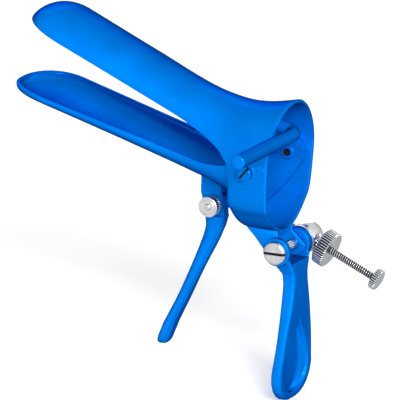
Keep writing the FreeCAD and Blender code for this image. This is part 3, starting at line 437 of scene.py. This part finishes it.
def material(name):
    made = bpy.data.materials.new(name)
    made.use_nodes = True
    tree = made.node_tree
    tree.nodes.clear()
    output = tree.nodes.new("ShaderNodeOutputMaterial")
    shader = tree.nodes.new("ShaderNodeBsdfPrincipled")
    tree.links.new(shader.outputs["BSDF"], output.inputs["Surface"])
    return made, tree, shader


def noise(tree, scale, detail=4.0):
    """Object-space noise."""
    place = tree.nodes.new("ShaderNodeTexCoord")
    texture = tree.nodes.new("ShaderNodeTexNoise")
    texture.inputs["Scale"].default_value = scale
    texture.inputs["Detail"].default_value = detail
    tree.links.new(place.outputs["Object"], texture.inputs["Vector"])
    return texture.outputs["Fac"]


def grey(level):
    return (level,) * 3


def ramp(tree, source, stops):
    node = tree.nodes.new("ShaderNodeValToRGB")
    band = node.color_ramp
    while len(band.elements) < len(stops):
        band.elements.new(0.5)
    for element, (place, colour) in zip(band.elements, stops):
        element.position = place
        element.color = (*colour, 1)
    tree.links.new(source, node.inputs["Fac"])
    return node.outputs["Color"]


def bumped(tree, shader, source, strength, distance):
    bump = tree.nodes.new("ShaderNodeBump")
    bump.inputs["Strength"].default_value = strength
    bump.inputs["Distance"].default_value = distance
    tree.links.new(source, bump.inputs["Height"])
    tree.links.new(bump.outputs["Normal"], shader.inputs["Normal"])


# Painted shade: blend and power of the darkening where surfaces turn away from the view.
FACING_BLEND, FACING_POWER = 0.5, 1.7


def painted_edge_shade(tree, source, dark):
    """Painted shade: mix the colour towards a dark tone where the surface turns away from the view."""
    weight = tree.nodes.new("ShaderNodeLayerWeight")
    weight.inputs["Blend"].default_value = FACING_BLEND
    curve = tree.nodes.new("ShaderNodeMath")
    curve.operation = "POWER"
    curve.inputs[1].default_value = FACING_POWER
    tree.links.new(weight.outputs["Facing"], curve.inputs[0])
    mix = tree.nodes.new("ShaderNodeMix")
    mix.data_type = "RGBA"
    tree.links.new(curve.outputs["Value"], mix.inputs["Factor"])
    tree.links.new(source, mix.inputs["A"])
    mix.inputs["B"].default_value = (*dark, 1)
    return mix.outputs["Result"]


def crease_shade_and_edge_wear(tree, source):
    """Painted shade: dark in the creases and hollows, where shade falls; paler along the sharp edges as wear.
    """
    shape = tree.nodes.new("ShaderNodeNewGeometry")
    crease_shade_and_wear = ramp(tree, shape.outputs["Pointiness"], [(0.42, grey(0.15)), (0.475, grey(1.0)), (0.53, grey(1.0)),
                                                    (0.58, grey(1.3))])
    mix = tree.nodes.new("ShaderNodeMix")
    mix.data_type = "RGBA"
    mix.blend_type = "MULTIPLY"
    mix.inputs["Factor"].default_value = 1.0
    tree.links.new(source, mix.inputs["A"])
    tree.links.new(crease_shade_and_wear, mix.inputs["B"])
    return mix.outputs["Result"]


def blue_metal():
    made, tree, shader = material("BlueMetal")
    shader.inputs["Metallic"].default_value = 0.4
    shader.inputs["Specular IOR Level"].default_value = 0.0
    shader.inputs["Specular Tint"].default_value = (0.05, 0.3, 0.8, 1)
    cloud = noise(tree, 55.0, 3.0)
    colour = ramp(tree, cloud, [(0.30, (0.000, 0.165, 0.66)), (0.55, (0.000, 0.190, 0.74)),
                                (0.75, (0.000, 0.212, 0.80))])
    # Painted shade: the blue is darkened in creases and where the surface turns away from the view; its sharp
    # edges are paler as wear.
    shaded = painted_edge_shade(tree, crease_shade_and_edge_wear(tree, colour), (0.0, 0.002, 0.010))
    tree.links.new(shaded, shader.inputs["Base Color"])
    fine = noise(tree, 1400.0, 2.0)
    rough = ramp(tree, fine, [(0.25, grey(0.29)), (0.75, grey(0.35))])
    tree.links.new(rough, shader.inputs["Roughness"])
    bumped(tree, shader, fine, 0.03, 0.00003)
    return made


def bright_metal():
    made, tree, shader = material("BrightMetal")
    shader.inputs["Metallic"].default_value = 1.0
    cloud = noise(tree, 240.0, 3.0)
    colour = ramp(tree, cloud, [(0.3, (0.58, 0.59, 0.61)), (0.7, (0.74, 0.75, 0.76))])
    # Painted shade: the steel is darkened in creases and where the surface turns away from the view; its
    # sharp edges are paler as wear.
    shaded = painted_edge_shade(tree, crease_shade_and_edge_wear(tree, colour), (0.012, 0.013, 0.016))
    tree.links.new(shaded, shader.inputs["Base Color"])
    fine = noise(tree, 1500.0, 2.0)
    rough = ramp(tree, fine, [(0.3, grey(0.16)), (0.7, grey(0.27))])
    tree.links.new(rough, shader.inputs["Roughness"])
    bumped(tree, shader, fine, 0.05, 0.00004)
    return made


def shadowed_metal():
    """Painted shade: near-black metal for the faces in slots, holes, between knurls and between threads,
    where shade falls.
    """
    made, tree, shader = material("ShadowedMetal")
    shader.inputs["Metallic"].default_value = 0.4
    shader.inputs["Roughness"].default_value = 0.6
    shader.inputs["Specular IOR Level"].default_value = 0.1
    spots = noise(tree, 800.0, 3.0)
    painted_shade_tone = ramp(tree, spots, [(0.3, (0.008, 0.009, 0.012)), (0.75, (0.05, 0.052, 0.058))])
    tree.links.new(painted_shade_tone, shader.inputs["Base Color"])
    return made


BLUE = blue_metal()
BRIGHT = bright_metal()
SHADOWED = shadowed_metal()


def marked(mesh, inside):
    """Give the faces whose middle, in mm, passes the test the second material, the dark painted-shade metal.
    """
    for polygon in mesh.polygons:
        polygon.material_index = 1 if inside(polygon.center / MM) else 0
    return mesh


def finished(thing, paint, angle=35):
    """Give a piece its metal, the dark painted-shade metal on its marked faces, and smooth shading."""
    thing.data.materials.append(paint)
    if any(polygon.material_index for polygon in thing.data.polygons):
        thing.data.materials.append(SHADOWED)
    smooth_by_angle(thing, angle)
    return thing


# Blades

upper_mesh = mesh_from("UpperSurface", upper_surface)
face_out(upper_mesh, Vector((0, 0.05, 0.05)), Z_AXIS)
upper_shell = thickened(upper_mesh, WALL, LIP_ROUND)

TONGUE_ROUND, TONGUE_HEEL = 5.0, 7.6
TONGUE_INNER, TONGUE_OUTER = 5.9, 7.6
TONGUE_FRONT = [(3.0, -30.5), (5.6, -28.0), (6.4, -26.9), (MOUTH_REAR, -26.9), (MOUTH_REAR, -30.0)]


def tongue_block(bm):
    """Side outline of the cheeks, as two plates."""
    outline = []
    for turn in spread(math.radians(180), math.radians(270), 10):
        outline.append((HINGE.y + TONGUE_ROUND * math.cos(turn), HINGE.z + TONGUE_ROUND * math.sin(turn)))
    outline += [(HINGE.y + TONGUE_ROUND, HINGE.z - TONGUE_ROUND), (HINGE.y + TONGUE_HEEL, HINGE.z)]
    outline += TONGUE_FRONT
    for inner, outer in ((TONGUE_INNER, TONGUE_OUTER), (-TONGUE_OUTER, -TONGUE_INNER)):
        first = [bm.verts.new((inner, y, z)) for y, z in outline]
        second = [bm.verts.new((outer, y, z)) for y, z in outline]
        bm.faces.new(first)
        bm.faces.new(second[::-1])
        for i in range(len(outline)):
            j = (i + 1) % len(outline)
            bm.faces.new((first[i], first[j], second[j], second[i]))


tongue = modified(mesh_from("Tongue", tongue_block), edge_round(0.35, 35))
boss_profile = softened_profile([(-22.0, 0.0), (-22.0, 4.8), (-20.3, 4.8), (-20.3, 0.0)], 0.4)
bosses = []
for turn in (0.0, math.pi):
    boss = turned("Boss", boss_profile, 64)
    boss.transform(Matrix.Rotation(turn, 4, "Z"))
    bosses.append(boss)
upper_mesh = joined("UpperBlade", [upper_shell, tongue] + bosses)
finished(new_object("UpperBlade", upper_mesh, "upper_blade_body", "blue_metal", "upper_blade"), BLUE)

lower_mesh = mesh_from("LowerSurface", lower_surface)
face_out(lower_mesh, Vector((0, 0.05, -0.005)), -Z_AXIS)
pivot_hole = [(-30.0, 0.0), (-30.0, 2.62), (30.0, 2.62), (30.0, 0.0)]
lower_shell = cut(thickened(lower_mesh, WALL, LIP_ROUND), turned("PivotHole", pivot_hole, 64))
finished(new_object("LowerBlade", lower_shell, "lower_blade_body", "blue_metal", "lower_blade"), BLUE)


# Handles and bracket: the CAD shapes with softened edges


# Shares of its reach and drop, then half width and half thickness, down the front handle
FRONT_REACH, FRONT_DROP = 24.6, 64.0
FRONT_SHARES = [(-0.01, 0.07, 3.6, 4.3), (0.02, 0.16, 3.6, 4.04), (0.16, 0.29, 3.6, 3.5),
                (0.36, 0.45, 3.6, 2.84), (0.63, 0.67, 4.25, 2.57), (0.90, 0.87, 4.9, 2.7),
                (0.96, 0.93, 4.9, 2.7), (1.05, 1.0, 4.9, 2.7)]
# Depth below the pivots, place along Y, half width and half thickness
FRONT_BAR = [(FRONT_DROP * down - BOLT.z, BOLT.y + FRONT_REACH * forward, half_x, half_y)
             for forward, down, half_x, half_y in FRONT_SHARES]
ROUNDING_RUN = 6.0


def rounder(mesh, stations, from_z, power):
    """Round the section of a bar: push its corners in onto a superellipse."""
    guides = [[(s[0], s[k]) for s in stations] for k in (1, 2, 3)]
    for vertex in mesh.vertices:
        x, y, z = vertex.co / MM
        if z > from_z:
            continue
        middle, half_x, half_y = [guide(line, -z) for line in guides]
        u, v = abs(x / half_x), abs((y - middle) / half_y)
        reach = (u ** power + v ** power) ** (1 / power)
        if reach > 1e-6:
            ease = min((from_z - z) / ROUNDING_RUN, 1.0)
            pull = 1 + ease * (max(u, v) / reach - 1)
            vertex.co = Vector((x * pull, middle + (y - middle) * pull, z)) * MM
    return mesh


DROP_TOP, DROP_FOOT, DROP_HALF, DROP_WIDEST = -66.0, -98.2, 10.8, 0.64
DROP_DEPTH, DROP_BANK = 1.4, 0.55


def scooped(mesh):
    """Hollow the palm's drop-shaped recess out like a spoon."""
    for vertex in mesh.vertices:
        x, _, z = vertex.co / MM
        along = (DROP_TOP - z) / (DROP_TOP - DROP_FOOT)
        if not 0 < along < 1 or vertex.normal.y > -0.2:
            continue
        if along < DROP_WIDEST:
            half = DROP_HALF * math.sin(math.pi / 2 * along / DROP_WIDEST) ** 1.2
        else:
            half = DROP_HALF * math.sqrt(1 - ((along - DROP_WIDEST) / (1 - DROP_WIDEST)) ** 2)
        inward = 1 - abs(x) / max(half, 0.01)
        if inward > 0:
            share = min(inward / DROP_BANK, 1.0)
            vertex.co.y += DROP_DEPTH * MM * share * share * (3 - 2 * share)
    return mesh


def softened(name, node, body, voxel, passes, shape=None, slot="blue_metal", paint=BLUE):
    """A copy of the CAD shape, evenly meshed and smoothed like a polished casting."""
    even = ("REMESH", {"mode": "VOXEL", "voxel_size": voxel * MM})
    calm = ("SMOOTH", {"factor": 0.5, "iterations": passes})
    mesh = modified(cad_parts[node].data.copy(), even, calm)
    mesh.materials.clear()
    if shape:
        shape(mesh)
    return finished(new_object(name, mesh, body, slot, node), paint, 70)


softened("RearHandle", "rear_handle", "rear_handle_body", 0.32, 8, scooped)
softened("FrontHandle", "front_handle", "front_handle_body", 0.3, 9,
         lambda mesh: rounder(mesh, FRONT_BAR, -26.0, 2.4))
softened("HandleBracket", "handle_bracket", "lower_blade_body", 0.25, 4)

# Thumb bar: a round bar bent to an L, with a rounded end


BAR_RADIUS, BAR_BEND, BAR_END_ROUND = 3.0, 4.2, 0.6
BAR_END_X = -59.5
BAR_CORNER = Vector((-5.0, -15.6, 15.3))
BAR_RISE = math.radians(16.0)
BAR_FOOT_Y = 8.0


def tube_rows(path, radius, segments=40):
    """Rows of a round bar along a path of points; the ends close to a small round."""
    stations = []
    for index, centre in enumerate(path):
        before = path[max(index - 1, 0)]
        after = path[min(index + 1, len(path) - 1)]
        stations.append((centre, (after - before).normalized(), radius))
    start, along, _ = stations[0]
    cap = [(start + along * BAR_END_ROUND * (1 - math.cos(a)), along,
            radius - BAR_END_ROUND + BAR_END_ROUND * math.sin(a)) for a in spread(0.0, math.pi / 2, 5)]
    stations = [(start, along, 0.0)] + cap + stations[1:]
    rows = []
    for centre, along, r in stations:
        across = along.cross(Z_AXIS).normalized()
        up = across.cross(along)
        rows.append([centre + (across * math.cos(a) + up * math.sin(a)) * r
                     for a in spread(0.0, 2 * math.pi, segments)])
    return rows


def thumb_bar(bm):
    """From the free end along X, round the bend, then forward and up to the collar's roof."""
    forward = Vector((0, math.cos(BAR_RISE), math.sin(BAR_RISE)))
    before = BAR_CORNER - X_AXIS * BAR_BEND
    centre = before + forward * BAR_BEND
    _, y, z = BAR_CORNER
    path = [Vector((x, y, z)) for x in [BAR_END_X] + spread(BAR_END_X + 0.7, before.x - 1, 12)]
    path += [centre + (X_AXIS * math.sin(a) - forward * math.cos(a)) * BAR_BEND
             for a in spread(0, math.pi / 2, 14)]
    reach = (BAR_FOOT_Y - BAR_CORNER.y) / math.cos(BAR_RISE) - 1.2
    path += [BAR_CORNER + forward * t for t in spread(BAR_BEND + 1, reach, 6)]
    grid_faces(bm, tube_rows(path, BAR_RADIUS))


finished(new_object("ThumbBar", mesh_from("ThumbBar", thumb_bar), "upper_blade_body", "blue_metal",
                    "thumb_bar"), BLUE, 50)

# Turned pieces


def lathe(name, profile, body, node, centre, along=X_AXIS, round_size=0.18, slot=None, knurls=None,
          segments=96):
    """A turned piece; knurls are given as (count, radius, depth, from, to)."""
    ripple = knurling(*knurls) if knurls else None
    mesh = turned(name, softened_profile(profile, round_size), segments, ripple)
    if slot:
        mesh = with_slot(mesh, *slot)
    if knurls:
        mesh = marked(mesh, in_knurls(*knurls[1:]))
    placed(mesh, centre, along)
    return finished(new_object(name, mesh, body, "bright_metal", node), BRIGHT)


# Side pivots: profiles of the left ones, turned round Z for the right ones
SLOT_TURN = math.radians(40 + 90)
PIVOT_SCREW = [(-23.6, 0.0), (-23.6, 2.5), (-23.35, 3.0), (-23.1, 3.3), (-22.1, 3.3), (-22.1, 2.4),
               (-19.85, 2.4), (-19.85, 1.68), (-18.8, 1.68), (-18.8, 0.0)]
PIVOT_BUSH = [(-17.1, 1.7), (-17.1, 2.9), (-17.4, 3.2), (-17.9, 3.2), (-17.9, 2.6), (-19.75, 2.6),
              (-19.75, 1.7), (-17.1, 1.7)]
PIVOT_SLOT = (-23.6, 0.9, 1.0, 8.0, SLOT_TURN)
# Painted shade: the screw's end and the bush's bore, deep in the hole, get the dark metal.
PAINTED_SHADE_FROM_X, PAINTED_SHADE_RADIUS = -18.95, 1.78

for side, turn in (("Left", 0.0), ("Right", math.pi)):
    for kind, profile, slot in (("Screw", PIVOT_SCREW, PIVOT_SLOT), ("Bush", PIVOT_BUSH, None)):
        name = f"{side}Pivot{kind}"
        mesh = turned(name, softened_profile(profile, 0.15), 72)
        if slot:
            mesh = with_slot(mesh, *slot)
        for polygon in mesh.polygons:
            x, y, z = polygon.center / MM
            if x > PAINTED_SHADE_FROM_X and math.hypot(y, z) < PAINTED_SHADE_RADIUS:
                polygon.material_index = 1
        mesh.transform(Matrix.Rotation(turn, 4, "Z"))
        node = f"{side}_pivot_{kind}".lower()
        finished(new_object(name, mesh, "lower_blade_body", "blue_metal", node), BLUE)

KNURL_LOW_SHARE, KNURL_RIM, KNURL_SLACK = 0.42, 0.55, 0.01


def in_knurls(radius, depth, from_x, to_x):
    """Test for the faces low between the knurls, which get painted shade."""
    def low(place):
        reach = math.hypot(place.y, place.z)
        return from_x < place.x < to_x and radius - depth < reach < radius - KNURL_LOW_SHARE * depth
    return low


def knurling(count, radius, depth, from_x, to_x):
    """Straight teeth on the rim between two places along the axis."""
    def ripple(along, r, angle):
        if r > radius - KNURL_RIM and from_x - KNURL_SLACK <= along <= to_x + KNURL_SLACK:
            wave = 0.5 - 0.5 * math.cos(angle * count)
            return r - depth * wave ** 1.2
        return r
    return ripple


lathe("HandleBolt", [(-9.75, 0.0), (-9.75, 1.28), (-9.45, 1.58), (-4.1, 1.58), (-4.1, 2.0), (4.1, 2.0),
                     (4.1, 1.5), (22.6, 1.5), (22.9, 1.2), (22.9, 0.0)],
      "lower_blade_body", "handle_bolt", BOLT)
lathe("KnobWasher", [(-4.7, 1.65), (-4.7, 3.9), (-4.1, 3.9), (-4.1, 1.65), (-4.7, 1.65)],
      "lower_blade_body", "knob_washer", BOLT)
lathe("KnurledKnob", [(-9.05, 1.6), (-9.05, 2.9), (-8.85, 3.1), (-8.95, 3.9), (-8.55, 4.4), (-5.7, 4.4),
                      (-5.7, 3.5), (-4.8, 3.5), (-4.8, 1.6), (-9.05, 1.6)],
      "knob_body", "knurled_knob", BOLT, knurls=(30, 4.4, 0.5, -8.6, -5.6), segments=360, round_size=0.12)
lathe("SpacerSleeve", [(4.1, 1.52), (4.1, 3.0), (16.7, 3.0), (16.7, 1.52), (4.1, 1.52)],
      "lower_blade_body", "spacer_sleeve", BOLT)
lathe("RodEyeNut", [(21.3, 1.52), (21.3, 2.9), (21.6, 3.2), (23.0, 3.2), (23.3, 2.9), (23.3, 1.52),
                    (21.3, 1.52)], "lower_blade_body", "rod_eye_nut", BOLT)
lathe("HingeScrew", [(-13.3, 0.0), (-13.3, 3.6), (-13.1, 4.3), (-12.6, 4.85), (-12.2, 5.0), (-11.1, 5.0),
                     (-11.1, 1.28), (-2.0, 1.28), (-2.0, 0.0)],
      "ball_body", "hinge_screw", HINGE, slot=(-13.3, 1.2, 1.15, 12.0, 0.0))
lathe("BallWasher", [(11.1, 2.45), (11.1, 6.5), (12.0, 6.5), (12.0, 2.45), (11.1, 2.45)],
      "ball_body", "ball_washer", HINGE)

BALL_RADIUS, BALL_NECK = 6.6, 3.6
ball_profile = [(-11.1, 1.3), (-11.1, 2.4), (12.1, 2.4), (12.1, BALL_NECK)]
ball_profile += [(BALL.x - BALL_RADIUS * math.cos(a), BALL_RADIUS * math.sin(a))
                 for a in spread(math.asin(BALL_NECK / BALL_RADIUS), math.pi, 40)]
ball_profile += [(-2.0, 0.0), (-2.0, 1.3), (-11.1, 1.3)]
ball_mesh = placed(turned("BallTrunnion", ball_profile, 96), HINGE)
finished(new_object("BallTrunnion", ball_mesh, "ball_body", "bright_metal", "ball_trunnion"), BRIGHT)

# Rod, wheel and cap, along the rod's axis

ROD_LENGTH = (BOLT - HINGE).length
lathe("AdjustingNut", [(-6.7, 1.72), (-6.7, 6.6), (-7.5, 7.9), (-11.8, 7.9), (-12.3, 7.3), (-12.3, 1.72),
                       (-6.7, 1.72)], "nut_body", "adjusting_nut", BALL, ROD_ALONG,
      knurls=(44, 7.9, 0.62, -12.0, -7.2), segments=528, round_size=0.15)
lathe("EndCap", [(-36.8, 0.0), (-36.8, 4.1), (-36.4, 4.65), (-34.3, 4.65), (-34.0, 4.3), (-34.0, 1.12),
                 (-36.5, 1.12), (-36.5, 0.0)], "rod_body", "end_cap", BALL, ROD_ALONG,
      knurls=(28, 4.65, 0.5, -36.5, -34.2), segments=336, round_size=0.12)

THREAD_PITCH, THREAD_ROOT, THREAD_CREST, THREAD_FLANK = 1.0, 1.32, 1.7, 1.35
THREAD_FROM, THREAD_TO = -34.0, ROD_LENGTH - 6.7
ROD_START, ROD_END, ROD_CORE = -36.5, ROD_LENGTH - 2.4 - 0.6, 1.1


def thread(bm):
    """Rod with a cut thread between its plain ends."""
    around = 48
    angles = [2 * math.pi * (k % around) / around for k in range(around + 1)]
    steps = int((THREAD_TO - THREAD_FROM) / THREAD_PITCH * 10)
    rows = []
    for i in range(steps + 1):
        along = THREAD_FROM + (THREAD_TO - THREAD_FROM) * i / steps
        ease = max(min(1.0, along - THREAD_FROM, THREAD_TO - along), 0.0)
        row = []
        for angle in angles:
            phase = (along / THREAD_PITCH - angle / (2 * math.pi)) % 1.0
            height = min(1.0, abs(2 * phase - 1) * THREAD_FLANK)
            row.append(polar(along, THREAD_CREST - (THREAD_CREST - THREAD_ROOT) * height * ease, angle))
        rows.append(row)
    start = [(ROD_START, 0.0), (ROD_START, ROD_CORE), (THREAD_FROM, ROD_CORE)]
    end = [(THREAD_TO, ROD_CORE), (ROD_END, ROD_CORE), (ROD_END, 0.0)]
    start, end = [[[polar(along, r, angle) for angle in angles] for along, r in part]
                  for part in (start, end)]
    grid_faces(bm, start + rows + end)


def in_thread(place):
    """Test for the faces in the thread's valleys, which get painted shade."""
    on_thread = THREAD_FROM + 0.5 < place.x < THREAD_TO - 0.3
    return on_thread and math.hypot(place.y, place.z) < (THREAD_ROOT + THREAD_CREST) / 2


rod_mesh = placed(marked(mesh_from("ThreadedRod", thread), in_thread), BALL, ROD_ALONG)
finished(new_object("ThreadedRod", rod_mesh, "rod_body", "bright_metal", "threaded_rod"), BRIGHT, 60)
softened("RodEye", "rod_eye", "rod_body", 0.16, 4, slot="bright_metal", paint=BRIGHT)

# Floor, light and camera

FLOOR_HALF, FLOOR_GAP = 9000, 0.6
FLOOR_LIFT = 0.28
ROOM_LIGHT = 0.34


def floor_mesh(bm):
    level = cad_box[0].z * 1000 - FLOOR_GAP
    corners = ((-1, -1), (1, -1), (1, 1), (-1, 1))
    bm.faces.new([bm.verts.new((x * FLOOR_HALF, y * FLOOR_HALF, level)) for x, y in corners])


floor = bpy.data.objects.new("Floor", mesh_from("Floor", floor_mesh))
bpy.context.scene.collection.objects.link(floor)


def floor_material():
    """Pale floor that reads as white where the light falls and keeps the shadow."""
    made, tree, shader = material("Paper")
    shader.inputs["Roughness"].default_value = 0.9
    grain = ramp(tree, noise(tree, 40.0), [(0.0, grey(0.93)), (1.0, grey(0.96))])
    tree.links.new(grain, shader.inputs["Base Color"])
    seen = tree.nodes.new("ShaderNodeLightPath")
    lift = tree.nodes.new("ShaderNodeMath")
    lift.operation = "MULTIPLY"
    lift.inputs[1].default_value = FLOOR_LIFT
    tree.links.new(seen.outputs["Is Camera Ray"], lift.inputs[0])
    shader.inputs["Emission Color"].default_value = (1, 1, 1, 1)
    tree.links.new(lift.outputs["Value"], shader.inputs["Emission Strength"])
    return made


floor.data.materials.append(floor_material())


def world_light():
    """White where it is seen or reflected, and dimmer as light on the surfaces."""
    world = bpy.data.worlds.new("Studio")
    bpy.context.scene.world = world
    world.use_nodes = True
    tree = world.node_tree
    tree.nodes.clear()
    output = tree.nodes.new("ShaderNodeOutputWorld")
    background = tree.nodes.new("ShaderNodeBackground")
    background.inputs["Color"].default_value = (1, 1, 1, 1)
    paths = tree.nodes.new("ShaderNodeLightPath")
    seen = paths.outputs["Is Camera Ray"]
    for kind in ("Is Glossy Ray", "Is Transmission Ray"):
        either = tree.nodes.new("ShaderNodeMath")
        either.operation = "MAXIMUM"
        tree.links.new(seen, either.inputs[0])
        tree.links.new(paths.outputs[kind], either.inputs[1])
        seen = either.outputs["Value"]
    level = tree.nodes.new("ShaderNodeMapRange")
    level.inputs["To Min"].default_value = ROOM_LIGHT
    level.inputs["To Max"].default_value = 1.0
    tree.links.new(seen, level.inputs["Value"])
    tree.links.new(level.outputs["Result"], background.inputs["Strength"])
    tree.links.new(background.outputs["Background"], output.inputs["Surface"])


world_light()


CENTRE = Vector((-0.0166, 0.0235, -0.0155))
TOWARD = Vector((-0.8606, -0.4385, 0.2588)).normalized()


def sun(name, toward, strength, degrees):
    """Soft lamp far away in the given direction."""
    data = bpy.data.lights.new(name, "SUN")
    data.energy = strength
    data.angle = math.radians(degrees)
    thing = bpy.data.objects.new(name, data)
    thing.location = CENTRE + Vector(toward)
    thing.rotation_mode = "QUATERNION"
    thing.rotation_quaternion = (-Vector(toward)).to_track_quat("-Z", "Y")
    bpy.context.scene.collection.objects.link(thing)


sun("Key", (-0.75, -0.60, 0.45), 3.6, 20)
sun("Fill", (0.8, 0.5, 0.5), 1.0, 40)

# Camera: a very long lens, because the picture is drawn in parallel view

LENS, SENSOR, WIDTH = 1000.0, 36.0, 0.16667
camera_data = bpy.data.cameras.new("Camera")
camera_data.lens = LENS
camera_data.sensor_width = SENSOR
camera_data.clip_start, camera_data.clip_end = 1.0, 40.0
camera = bpy.data.objects.new("Camera", camera_data)
camera.location = CENTRE + TOWARD * (WIDTH * LENS / SENSOR)
camera.rotation_mode = "QUATERNION"
camera.rotation_quaternion = (-TOWARD).to_track_quat("-Z", "Y")
bpy.context.scene.collection.objects.link(camera)
bpy.context.scene.camera = camera
bpy.context.scene.view_settings.view_transform = "Standard"
